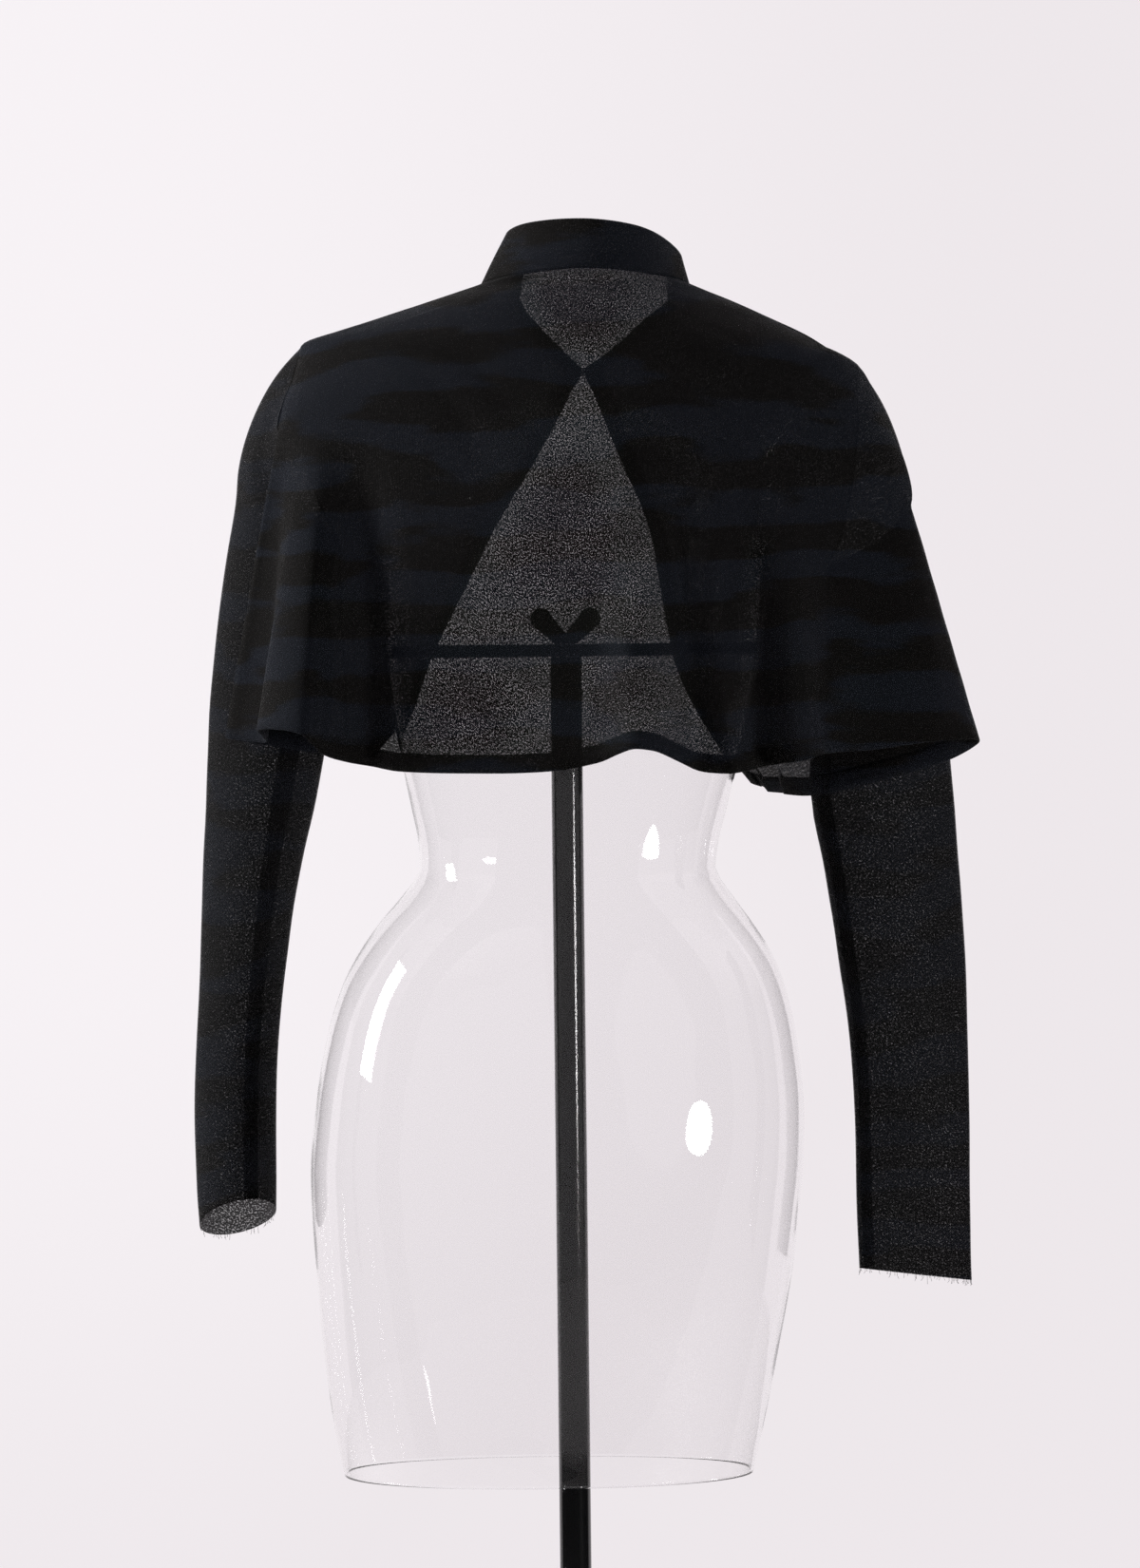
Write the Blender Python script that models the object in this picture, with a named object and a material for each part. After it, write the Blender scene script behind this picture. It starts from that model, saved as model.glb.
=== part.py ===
"""Cropped swing cardigan in sheer knit, worn by a clear dress form on a round stand.

Frame: +Z up, the origin under the middle of the stand's base. The garment's back faces -Y and its
open front faces +Y. Tables and sizes are in millimetres and become metres as each mesh is made.
"""

import math
from collections import namedtuple

import bmesh
import bpy
from mathutils import Vector

MM = 0.001

# Driving sizes
WALL = 1.0
COLLAR_WALL = 2.2
SEAM_GAP = 0.35
ARMHOLE_GAP = 0.9
NORMAL_SHARE = 2.5
BACK_GAP = 1.5
FRONT_GAP = 2.1
DRAPE_SOFTNESS = 3.0
FORM_WALL = 3.0
SECTION_POWER = 2.2

# How many rows of each panel lie along the shoulder, the armhole and the side seam
SHOULDER_ROWS = 5
ARM_ROWS = 8
SIDE_ROWS = 7
TIP = SHOULDER_ROWS
RELEASE = SHOULDER_ROWS + ARM_ROWS // 2
UNDERARM = SHOULDER_ROWS + ARM_ROWS
HEM = UNDERARM + SIDE_ROWS
BACK_STEPS = 2
FRONT_STEPS = 3

FORM_SEGMENTS = 28
COLLAR_ROWS = 4
COLLAR_COLUMNS = 26

POLE_RADIUS = 11.25
POLE_SEGMENTS = 24
PLATE_RADIUS = 170.0
PLATE_THICKNESS = 8.0
PLATE_SEGMENTS = 48
PLATE_BEVEL = 2.0
PART_GAP = 0.3
BAR_HEIGHT = 1182.0
BAR_THICKNESS = 9.0
BAR_DEPTH = 20.0
BAR_BEVEL = 1.0
BAR_CLEARANCE = 1.9
NUT_HALF_BASE = 8.0
NUT_THICKNESS = 6.0
EAR_RADIUS = 7.8
EAR_SPREAD = 17.3
EAR_HEIGHT = 18.0
EAR_POINTS = 9
WIRE_RADIUS = 0.5
EYE_RADIUS = 2.6
HOOK_RADIUS = 2.6
EYE_SHIFT = 1.8
EYE_DEPTH = 0.6
WIRE_POINTS = 14
WIRE_SIDES = 6

# The dress form, ring by ring from the open rim up to the closed neck
Ring = namedtuple("Ring", "z half_width front back centre tilt")
FORM = (
    Ring(598.9, 146.2, 106.0, 112.0, -18.4, 0.0),
    Ring(639.0, 154.7, 108.0, 114.0, -17.6, 0.0),
    Ring(687.9, 162.9, 110.0, 118.0, -15.7, 0.0),
    Ring(740.9, 170.0, 110.0, 123.0, -12.9, 0.0),
    Ring(781.7, 173.8, 110.0, 126.0, -11.8, 0.0),
    Ring(822.5, 176.2, 109.0, 127.0, -10.1, 0.0),
    Ring(861.2, 174.6, 107.0, 125.0, -7.9, 0.0),
    Ring(910.1, 168.0, 103.0, 119.0, -6.1, 0.0),
    Ring(944.1, 159.4, 100.0, 112.0, -4.8, 0.0),
    Ring(967.2, 149.6, 97.0, 104.0, -3.6, 0.0),
    Ring(993.2, 132.6, 92.0, 94.0, -2.8, 0.0),
    Ring(1014.2, 116.0, 87.0, 85.0, -1.4, 0.0),
    Ring(1031.2, 105.8, 84.0, 80.0, -0.5, 0.0),
    Ring(1049.5, 107.4, 85.0, 79.5, 0.6, 0.0),
    Ring(1072.7, 112.5, 88.0, 80.0, 1.3, 0.0),
    Ring(1099.2, 118.7, 91.0, 81.0, 2.2, 0.0),
    Ring(1150.0, 130.0, 97.0, 84.0, 4.6, 0.004),
    Ring(1200.0, 138.0, 112.0, 89.0, 7.0, 0.012),
    Ring(1250.0, 144.0, 125.0, 94.0, 9.5, 0.022),
    Ring(1300.0, 149.0, 108.0, 98.0, 11.5, 0.035),
    Ring(1345.0, 162.0, 84.0, 97.0, 12.8, 0.050),
    Ring(1378.0, 179.0, 66.0, 90.0, 14.0, 0.057),
    Ring(1396.0, 182.0, 59.0, 84.0, 14.0, 0.052),
    Ring(1406.5, 175.0, 55.0, 79.0, 14.0, 0.044),
    Ring(1419.0, 144.0, 50.0, 71.0, 14.5, 0.032),
    Ring(1433.5, 106.0, 44.0, 63.0, 15.0, 0.016),
    Ring(1445.0, 72.0, 39.0, 55.0, 15.5, 0.0),
    Ring(1453.0, 59.0, 37.0, 47.0, 16.5, 0.0),
    Ring(1462.0, 52.0, 36.0, 43.0, 17.5, 0.0),
    Ring(1468.0, 45.0, 31.0, 37.0, 18.0, 0.0),
    Ring(1471.0, 24.0, 17.0, 20.0, 18.0, 0.0),
)

# The neckline, from the left front end round the back to the right front end, and the collar's top edge
Point = namedtuple("Point", "x y z")
NECK_BASE = (
    Point(-32.0, 44.0, 1443.5),
    Point(-52.0, 24.0, 1446.5),
    Point(-56.6, -4.0, 1448.5),
    Point(-31.0, -47.0, 1452.5),
    Point(15.4, -61.0, 1456.0),
    Point(62.0, -47.0, 1452.5),
    Point(88.8, -4.0, 1448.0),
    Point(90.0, 24.0, 1443.5),
    Point(77.5, 44.0, 1439.0),
)
LEFT_NECK = 2
RIGHT_NECK = 6
COLLAR_TOP = (
    Point(-27.0, 33.0, 1471.0),
    Point(-38.0, 16.0, 1479.0),
    Point(-36.5, -10.0, 1486.0),
    Point(-18.0, -38.0, 1489.5),
    Point(20.0, -51.0, 1490.0),
    Point(57.0, -38.0, 1485.0),
    Point(78.0, -10.0, 1475.5),
    Point(85.5, 14.0, 1466.0),
    Point(79.0, 34.0, 1459.5),
)

# The armholes, from the shoulder tip down the back to the underarm and up the front
ARMHOLES = {
    "left": (
        Point(-184.9, 0.0, 1407.3),
        Point(-192.5, -27.0, 1380.0),
        Point(-201.9, -45.0, 1345.8),
        Point(-187.0, -28.0, 1295.0),
        Point(-162.0, 4.0, 1268.0),
        Point(-174.0, 33.0, 1290.0),
        Point(-188.0, 46.0, 1335.0),
        Point(-188.0, 27.0, 1381.0),
    ),
    "right": (
        Point(212.0, 0.0, 1385.5),
        Point(230.5, -22.0, 1345.0),
        Point(246.0, -42.0, 1290.0),
        Point(222.0, -26.0, 1260.0),
        Point(190.0, 3.0, 1247.0),
        Point(197.0, 30.0, 1262.0),
        Point(207.0, 46.0, 1300.0),
        Point(212.0, 27.0, 1348.0),
    ),
}
SIDE_HEM = {"left": Point(-157.0, 8.0, 1112.0), "right": Point(184.0, 6.0, 1082.0)}

# How high the middle of each back row lies, from the neckline to the shoulder blades
BACK_MIDDLE = (1456.0, 1447.0, 1438.0, 1428.0, 1417.0, 1405.0, 1390.0, 1373.0, 1355.0, 1335.0)

# The back's folds: where each starts on the shoulder blades and where it ends on the hem
Fold = namedtuple("Fold", "start x y z")
BACK_FOLDS = (
    Fold(-202.0, -157.0, 8.0, 1112.0),
    Fold(-201.0, -242.0, -45.0, 1127.0),
    Fold(-196.0, -212.0, -76.0, 1123.5),
    Fold(-180.0, -215.5, -120.0, 1132.0),
    Fold(-170.0, -184.0, -150.0, 1128.5),
    Fold(-157.0, -167.6, -130.0, 1113.5),
    Fold(-141.0, -138.0, -105.0, 1106.0),
    Fold(-118.0, -118.0, -123.0, 1102.0),
    Fold(-66.0, -66.5, -133.0, 1100.0),
    Fold(-9.0, -9.0, -137.0, 1101.0),
    Fold(22.0, 23.0, -142.0, 1107.0),
    Fold(40.0, 45.0, -160.0, 1115.5),
    Fold(56.0, 64.7, -154.0, 1113.0),
    Fold(72.0, 92.0, -125.0, 1100.0),
    Fold(100.0, 115.5, -139.0, 1098.0),
    Fold(128.0, 139.5, -112.0, 1103.0),
    Fold(156.0, 165.0, -150.0, 1106.5),
    Fold(170.0, 183.0, -125.0, 1111.5),
    Fold(210.0, 213.0, -99.0, 1113.5),
    Fold(228.0, 248.0, -88.0, 1118.0),
    Fold(240.0, 285.0, -66.0, 1120.5),
    Fold(243.0, 292.0, -43.0, 1117.5),
    Fold(244.0, 272.0, -25.0, 1106.0),
    Fold(245.0, 233.0, -18.0, 1094.0),
    Fold(246.0, 184.0, 6.0, 1082.0),
)
FRONT_FOLDS = {
    "left": (
        Fold(-188.0, -157.0, 8.0, 1112.0),
        Fold(-170.0, -147.0, 36.0, 1110.0),
        Fold(-143.0, -153.0, 64.0, 1112.0),
        Fold(-110.0, -139.0, 88.0, 1114.0),
        Fold(-65.0, -146.0, 111.0, 1119.0),
        Fold(-17.0, -137.0, 128.0, 1121.0),
    ),
    "right": (
        Fold(207.0, 184.0, 6.0, 1082.0),
        Fold(188.0, 170.0, 25.0, 1081.5),
        Fold(160.0, 157.0, 47.0, 1083.0),
        Fold(128.0, 161.0, 70.0, 1083.5),
        Fold(96.0, 147.0, 92.0, 1085.0),
        Fold(68.0, 149.0, 112.0, 1087.0),
        Fold(41.0, 136.5, 130.0, 1091.0),
    ),
}

# The fronts' free edges: from the collar's end to the closing point, then slanting down to the hem
Edge = namedtuple("Edge", "row x y z")
FRONT_EDGES = {
    "left": (
        Edge(0, -32.0, 44.0, 1443.5),
        Edge(1, -26.0, 50.0, 1432.0),
        Edge(3, -6.0, 62.0, 1412.0),
        Edge(5, 13.0, 72.0, 1391.5),
        Edge(9, -17.0, 101.0, 1337.0),
        Edge(13, -54.0, 125.0, 1277.0),
        Edge(15, -77.0, 132.0, 1232.0),
        Edge(17, -100.0, 132.0, 1188.0),
        Edge(19, -119.0, 130.0, 1143.0),
        Edge(20, -137.0, 128.0, 1121.0),
    ),
    "right": (
        Edge(0, 77.5, 44.0, 1439.0),
        Edge(1, 66.0, 50.0, 1431.0),
        Edge(3, 42.0, 62.0, 1411.0),
        Edge(5, 17.0, 72.0, 1391.5),
        Edge(9, 42.0, 103.0, 1330.0),
        Edge(13, 65.5, 125.0, 1272.0),
        Edge(15, 73.0, 132.0, 1226.0),
        Edge(17, 83.0, 132.0, 1176.0),
        Edge(18, 93.0, 132.0, 1153.0),
        Edge(19, 112.0, 131.0, 1122.0),
        Edge(20, 136.5, 130.0, 1091.0),
    ),
}

# The sleeves below their caps, section by section: the outer and inner ends, the middle's depth,
# half of the front-to-back size, and how far the front dips
Section = namedtuple("Section", "out_x out_z in_x in_z middle_y half_depth dip")
SLEEVES = {
    "left": (
        Section(-236.5, 1294.0, -170.0, 1233.0, 30.0, 41.0, 0.0),
        Section(-244.5, 1251.0, -168.5, 1215.0, 30.0, 40.0, 0.0),
        Section(-251.0, 1202.0, -167.5, 1187.0, 29.0, 38.5, 0.0),
        Section(-256.5, 1145.0, -170.7, 1140.0, 29.0, 37.0, 0.0),
        Section(-259.7, 1085.0, -181.2, 1084.0, 28.0, 36.0, 0.0),
        Section(-262.9, 1027.0, -194.2, 1026.0, 27.0, 35.0, 0.0),
        Section(-265.3, 967.0, -203.5, 967.0, 27.0, 32.0, 0.0),
        Section(-268.5, 907.0, -210.2, 907.0, 27.0, 30.0, 1.0),
        Section(-270.3, 850.0, -212.4, 850.0, 27.0, 28.5, 4.0),
        Section(-269.5, 802.0, -213.2, 806.0, 27.0, 27.5, 9.0),
        Section(-268.2, 776.0, -213.5, 788.0, 27.0, 27.0, 13.0),
    ),
    "right": (
        Section(250.5, 1282.0, 194.0, 1218.0, 33.0, 40.0, 0.0),
        Section(257.0, 1243.0, 190.5, 1199.0, 33.0, 37.0, 0.0),
        Section(264.5, 1195.0, 186.0, 1170.0, 33.0, 33.5, 0.0),
        Section(271.5, 1145.0, 178.5, 1133.0, 33.0, 29.5, 0.0),
        Section(277.2, 1090.0, 175.5, 1085.0, 33.0, 26.5, 0.0),
        Section(281.7, 1026.0, 185.7, 1024.0, 33.0, 24.5, 0.0),
        Section(285.3, 965.0, 194.2, 964.0, 33.0, 21.5, 0.0),
        Section(286.5, 905.0, 201.8, 905.0, 33.0, 18.5, 0.0),
        Section(286.6, 846.0, 204.9, 846.0, 33.0, 14.5, 0.0),
        Section(286.9, 785.0, 206.0, 787.0, 33.0, 11.0, 0.0),
        Section(287.5, 730.5, 207.0, 740.0, 33.0, 9.0, 1.0),
    ),
}
# The cap between the armhole and the first section: its rings, and how far it stands out
CAP_RINGS = 4
CAP_BULGE = {"left": 13.0, "right": 8.0}
CAP_FORWARD = 12.0


def vector(point):
    """The place of a table's row as a vector."""
    return Vector((point.x, point.y, point.z))


def smooth_curve(points, at, closed=False):
    """A point on the rounded curve through the points; `at` counts points from the first."""
    count = len(points)
    first = math.floor(at)
    if not closed:
        first = min(max(first, 0), count - 2)
    share = at - first
    if closed:
        p = [points[(first + k) % count] for k in (-1, 0, 1, 2)]
    else:
        p = [points[min(max(first + k, 0), count - 1)] for k in (-1, 0, 1, 2)]
        if first == 0:
            p[0] = 2 * p[1] - p[2]
        if first == count - 2:
            p[3] = 2 * p[2] - p[1]
    knots = [0.0]
    for a, b in zip(p, p[1:]):
        knots.append(knots[-1] + max((b - a).length, 1e-6) ** 0.5)
    t = knots[1] + share * (knots[2] - knots[1])
    for level in (1, 2, 3):
        p = [
            a.lerp(b, (t - knots[i]) / (knots[i + level] - knots[i]))
            for i, (a, b) in enumerate(zip(p, p[1:]))
        ]
    return p[0]


def read_table(rows, key, name, at):
    """The value of a column, read smoothly between the rows of a table sorted by its key."""
    keys = [getattr(row, key) for row in rows]
    values = [getattr(row, name) for row in rows]
    at = min(max(at, keys[0]), keys[-1])
    i = max(k for k in range(len(keys) - 1) if keys[k] <= at)
    slopes = [(values[k + 1] - values[k]) / (keys[k + 1] - keys[k]) for k in range(len(keys) - 1)]
    before = slopes[max(i - 1, 0)]
    after = slopes[min(i + 1, len(slopes) - 1)]
    here = slopes[i]
    start = 0.0 if before * here <= 0 else 2 * before * here / (before + here)
    end = 0.0 if after * here <= 0 else 2 * after * here / (after + here)
    width = keys[i + 1] - keys[i]
    t = (at - keys[i]) / width
    return (
        values[i] * (1 + 2 * t) * (1 - t) ** 2
        + start * width * t * (1 - t) ** 2
        + values[i + 1] * t * t * (3 - 2 * t)
        + end * width * t * t * (t - 1)
    )


def form_ring(z):
    """The form's sizes at a height."""
    return Ring(z, *(read_table(FORM, "z", name, z) for name in Ring._fields[1:]))


def power(value, exponent):
    """A signed power, for the rounded-box shape of a section."""
    return math.copysign(abs(value) ** exponent, value)


def ring_point(ring, angle, gap=0.0):
    """A point of a ring, moved out by a gap."""
    c, s = math.cos(angle), math.sin(angle)
    depth = ring.front if s > 0 else ring.back
    across = (ring.half_width + gap) * power(c, 2 / SECTION_POWER)
    return Vector((
        ring.centre + across,
        (depth + gap) * power(s, 2 / SECTION_POWER),
        ring.z - ring.tilt * across,
    ))


def on_form(angle, z, gap):
    """A point at a height just outside the form."""
    level = z - gap
    for _ in range(3):
        point = ring_point(form_ring(level), angle, gap)
        level += z - gap - point.z
    point.z = z
    return point


def form_angle(point, gap=0.0):
    """The angle at which a point lies round the form."""
    ring = form_ring(point.z + form_ring(point.z).tilt * (point.x - form_ring(point.z).centre))
    depth = ring.front if point.y > 0 else ring.back
    across = power((point.x - ring.centre) / (ring.half_width + gap), SECTION_POWER / 2)
    along = power(point.y / (depth + gap), SECTION_POWER / 2)
    return math.atan2(along, across) % (2 * math.pi)


def clear_of_form(point, gap):
    """The point, pushed out softly where the form would touch the cloth."""
    ring = form_ring(point.z + form_ring(point.z).tilt * (point.x - form_ring(point.z).centre) - gap)
    centre = Vector((ring.centre, 0.0, point.z))
    arm = point - centre
    distance = arm.length
    limit = (ring_point(ring, form_angle(point), gap).xy - centre.xy).length
    difference = distance - limit
    out = 0.5 * (distance + limit + math.hypot(difference, DRAPE_SOFTNESS))
    if difference > 0:
        out -= 0.5 * (math.hypot(difference, DRAPE_SOFTNESS) - difference)
        out = max(out, distance)
    return centre + arm * (out / distance)


def armhole_point(side, turn):
    """A point of the armhole seam: turn 0 at the shoulder tip, 0.25 at the back, 0.5 underneath."""
    points = [vector(p) for p in ARMHOLES[side]]
    return smooth_curve(points, (turn % 1.0) * len(points), closed=True)


def neck_point(at):
    """A point of the neckline seam, counted in points of its table."""
    return smooth_curve([vector(p) for p in NECK_BASE], at)


def side_edge(side, face, row):
    """The end of a panel's row on its shoulder seam, its armhole or its side seam."""
    neck = neck_point(LEFT_NECK if side == "left" else RIGHT_NECK)
    if row <= TIP:
        return neck.lerp(armhole_point(side, 0.0), row / SHOULDER_ROWS)
    if row <= UNDERARM:
        turn = 0.5 * (row - TIP) / ARM_ROWS
        return armhole_point(side, turn if face == "back" else -turn)
    return armhole_point(side, 0.5).lerp(vector(SIDE_HEM[side]), (row - UNDERARM) / SIDE_ROWS)


def front_edge(side, row):
    """The end of a front's row on its free edge."""
    table = FRONT_EDGES[side]
    part = [e for e in table if e.row <= TIP] if row <= TIP else [e for e in table if e.row >= TIP]
    return Vector([read_table(part, "row", name, row) for name in ("x", "y", "z")])


def yoke_row(start, end, middle_z, shares, reach, gap):
    """A row of cloth that lies on the form between two seams.

    Args:
        start, end: the row's ends.
        middle_z: the row's height halfway, or None for a straight run of heights.
        shares: where along the row each point lies.
        reach: the share of the row over which each end's distance from the form dies away.
        gap: how far the cloth's middle lies off the form.
    """
    first, last = form_angle(start), form_angle(end)
    if middle_z is not None and last < first:
        last += 2 * math.pi
    if middle_z is None and first - last > math.pi:
        first -= 2 * math.pi
    bow = 0.0 if middle_z is None else middle_z - (start.z + end.z) / 2
    off_start = start - on_form(first, start.z, gap)
    off_end = end - on_form(last, end.z, gap)
    row = []
    for share in shares:
        z = start.z + (end.z - start.z) * share + bow * 4 * share * (1 - share)
        point = on_form(first + (last - first) * share, z, gap)
        point += off_start * fade(share, reach) + off_end * fade(1 - share, reach)
        row.append(point)
    return row


def fade(share, reach):
    """One at a seam, zero beyond the reach, with a soft run between."""
    if share >= reach:
        return 0.0
    return 0.5 * (1 + math.cos(math.pi * share / reach))


def fold_shares(folds, release_row, fine, steps):
    """Where along the release row each column of cloth starts, from the folds' starting places."""
    marks = []
    rising = release_row[-1].x > release_row[0].x
    for fold in folds:
        passed = [k for k, p in enumerate(release_row) if (p.x <= fold.start) == rising]
        marks.append(max(passed, default=0) / fine)
    marks[0], marks[-1] = 0.0, 1.0
    shares = []
    for a, b in zip(marks, marks[1:]):
        shares += [a + (b - a) * k / steps for k in range(steps)]
    return shares + [1.0]


def panel_rows(start_edge, end_edge, folds, steps, middles, start_reach, end_reach, yoke_reach, gap):
    """The rows of a panel: the yoke that lies on the form, then the folds that hang from it.

    Args:
        start_edge, end_edge: functions from a row's number to its ends.
        folds: the panel's table of folds.
        steps: how many columns of cloth each fold takes.
        middles: the heights of the yoke rows' middles, or None.
        start_reach, end_reach: how many folds each hanging edge pulls on.
        yoke_reach: the share of a yoke row over which its ends leave the form.
        gap: how far the cloth's middle lies off the form.
    """
    fine = 400
    middle = middles[RELEASE] if middles else None
    even = [k / fine for k in range(fine + 1)]
    release = yoke_row(start_edge(RELEASE), end_edge(RELEASE), middle, even, yoke_reach, gap)
    shares = fold_shares(folds, release, fine, steps)
    rows = []
    for i in range(RELEASE + 1):
        middle = middles[i] if middles else None
        rows.append(yoke_row(start_edge(i), end_edge(i), middle, shares, yoke_reach, gap))
    hem_points = [vector(fold) for fold in folds]
    hem = [smooth_curve(hem_points, j / steps) for j in range(len(shares))]
    last = len(shares) - 1
    for i in range(RELEASE + 1, HEM + 1):
        down = (i - RELEASE) / (HEM - RELEASE)
        row = [top.lerp(bottom, down) for top, bottom in zip(rows[RELEASE], hem)]
        pull_start, pull_end = start_edge(i) - row[0], end_edge(i) - row[-1]
        for j in range(last + 1):
            near_start = max(0.0, 1 - j / (start_reach * steps))
            near_end = max(0.0, 1 - (last - j) / (end_reach * steps))
            row[j] = row[j] + pull_start * near_start + pull_end * near_end
        rows.append(row)
    return [[clear_of_form(point, gap) for point in row] for row in rows]


def back_rows():
    """The back's rows, from the neckline to the hem, left to right."""
    rows = panel_rows(
        lambda row: side_edge("left", "back", row),
        lambda row: side_edge("right", "back", row),
        BACK_FOLDS, BACK_STEPS, BACK_MIDDLE, 1, 3, 0.42, BACK_GAP,
    )
    return seat_on_neck(rows, LEFT_NECK, RIGHT_NECK)


def front_rows(side):
    """A front's rows, from the neckline to the hem, side seam to free edge."""
    rows = panel_rows(
        lambda row: side_edge(side, "front", row),
        lambda row: front_edge(side, row),
        FRONT_FOLDS[side], FRONT_STEPS, None, 2, len(FRONT_FOLDS[side]) - 1, 0.7, FRONT_GAP,
    )
    ends = (LEFT_NECK, 0) if side == "left" else (RIGHT_NECK, len(NECK_BASE) - 1)
    return seat_on_neck(rows, *ends)


def seat_on_neck(rows, first, last):
    """The rows, with the top one laid on the neckline seam."""
    count = len(rows[0]) - 1
    rows[0] = [neck_point(first + (last - first) * j / count) for j in range(count + 1)]
    return rows


def part_at_seam(edge, inside, other_inside, half_walls=WALL):
    """Where a second piece starts, so that two walls that meet at a seam stay apart.

    Args:
        edge: the seam's point, on the first piece's edge.
        inside: a point of the second piece next to the seam.
        other_inside: a point of the first piece next to the seam.
        half_walls: the sum of both pieces' half walls.
    """
    away = (inside - edge).normalized()
    other = (other_inside - edge).normalized()
    direction = away - other
    if direction.length < 0.05:
        return edge.copy()
    half_angle = math.asin(min(direction.length / 2, 1.0))
    return edge + direction.normalized() * (SEAM_GAP + half_walls * math.cos(half_angle))


def open_seam(rows, other_rows, column, inner, other_column, other_inner, first, last):
    """The rows, with one edge moved off the seam that they share with another panel."""
    for i in range(first, last + 1):
        rows[i][column] = part_at_seam(
            rows[i][column], rows[i][inner], other_rows[i][other_inner],
        )
    return rows


def sleeve_ring(section):
    """The points round one section of a sleeve, from its outer end by way of its back."""
    around = 2 * ARM_ROWS
    outer = Vector((section.out_x, section.middle_y, section.out_z))
    inner = Vector((section.in_x, section.middle_y, section.in_z))
    centre = (outer + inner) / 2
    ring = []
    for k in range(around):
        angle = 2 * math.pi * k / around
        point = centre + (outer - centre) * math.cos(angle)
        point.y -= section.half_depth * math.sin(angle)
        point.z += section.dip * math.sin(angle)
        ring.append(point)
    return ring


def sleeve_rings(side, back, front):
    """The rings of a sleeve, from the armhole over the cap to the cuff."""
    around = 2 * ARM_ROWS
    outward = Vector((-0.85 if side == "left" else 0.85, 0.0, 0.5))
    seam = [armhole_point(side, k / around) for k in range(around)]
    first = sleeve_ring(SLEEVES[side][0])
    cap = []
    for i in range(1, CAP_RINGS + 1):
        down = i / (CAP_RINGS + 1)
        ring = []
        for k in range(around):
            angle = 360 * k / around
            swell = 4 * down * (1 - down)
            lift = swell * CAP_BULGE[side] * (0.5 + 0.5 * math.cos(math.radians(angle)))
            ahead = swell * CAP_FORWARD * max(0.0, math.sin(math.radians(angle - 45) * 180 / 145))
            if angle > 190:
                ahead = 0.0
            ring.append(seam[k].lerp(first[k], down) + outward * lift + Vector((0.0, ahead, 0.0)))
        cap.append(ring)
    rings = cap + [sleeve_ring(section) for section in SLEEVES[side]]
    edge_column = 0 if side == "left" else -1
    inner_column = 1 if side == "left" else -2
    start = []
    for k in range(around):
        row = TIP + min(k, around - k)
        beside_back = (back, row, edge_column, inner_column)
        beside_front = (front, row, 0, 1)
        if k in (0, ARM_ROWS):
            neighbours = (beside_back, beside_front)
        else:
            neighbours = (beside_back,) if k < ARM_ROWS else (beside_front,)
        start.append(off_armhole(seam[k], rings[0][k], neighbours))
    return [start] + rings


def off_armhole(edge, inside, neighbours):
    """Where a sleeve starts, so that its wall stays clear of the panels' walls at the armhole.

    Args:
        edge: the armhole seam's point.
        inside: the sleeve's next point.
        neighbours: the panels there, each with its row, its edge column and the next column.
    """
    away = (inside - edge).normalized()
    total = Vector()
    for rows, row, column, inner in neighbours:
        across = (rows[row][inner] - edge).normalized()
        seamwise = (rows[row + 1][column] - rows[row - 1][column]).normalized()
        normal = across.cross(seamwise).normalized()
        if normal.dot(away) < 0:
            normal.negate()
        total += away - across + normal * NORMAL_SHARE
    return edge + total.normalized() * (ARMHOLE_GAP + WALL)


def collar_rows():
    """The collar's rows, from just above the neckline seam to its top edge."""
    top_points = [vector(p) for p in COLLAR_TOP]
    rows = []
    for i in range(COLLAR_ROWS + 1):
        up = i / COLLAR_ROWS
        row = []
        for j in range(COLLAR_COLUMNS + 1):
            at = (len(NECK_BASE) - 1) * j / COLLAR_COLUMNS
            base = neck_point(at)
            top = smooth_curve(top_points, at)
            base += (top - base).normalized() * (SEAM_GAP + COLLAR_WALL / 2)
            row.append(base.lerp(top, up))
        rows.append(row)
    return rows


def new_object(name, mesh, material):
    """An object in the scene, with its mesh and its material."""
    thing = bpy.data.objects.new(name, mesh)
    bpy.context.scene.collection.objects.link(thing)
    mesh.materials.append(material)
    return thing


def mesh_from_bmesh(name, bm):
    """A mesh with its faces pointing out, freed of the bmesh."""
    bmesh.ops.recalc_face_normals(bm, faces=bm.faces)
    mesh = bpy.data.meshes.new(name)
    bm.to_mesh(mesh)
    bm.free()
    return mesh


def sheet(name, rows, wall, material, closed=False):
    """A wall of cloth through rows of points, open at its edges.

    Args:
        name: the object's name.
        rows: the rows of points, in millimetres.
        wall: the cloth's thickness, in millimetres.
        material: the cloth's material.
        closed: whether each row is a ring.
    """
    bm = bmesh.new()
    grid = [[bm.verts.new(point * MM) for point in row] for row in rows]
    for upper, lower in zip(grid, grid[1:]):
        count = len(upper)
        for j in range(count if closed else count - 1):
            k = (j + 1) % count
            bm.faces.new((upper[j], lower[j], lower[k], upper[k]))
    thing = new_object(name, mesh_from_bmesh(name, bm), material)
    thicken = thing.modifiers.new("wall", "SOLIDIFY")
    thicken.thickness = wall * MM
    thicken.offset = 0.0
    thing.data.shade_smooth()
    return thing


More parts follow.
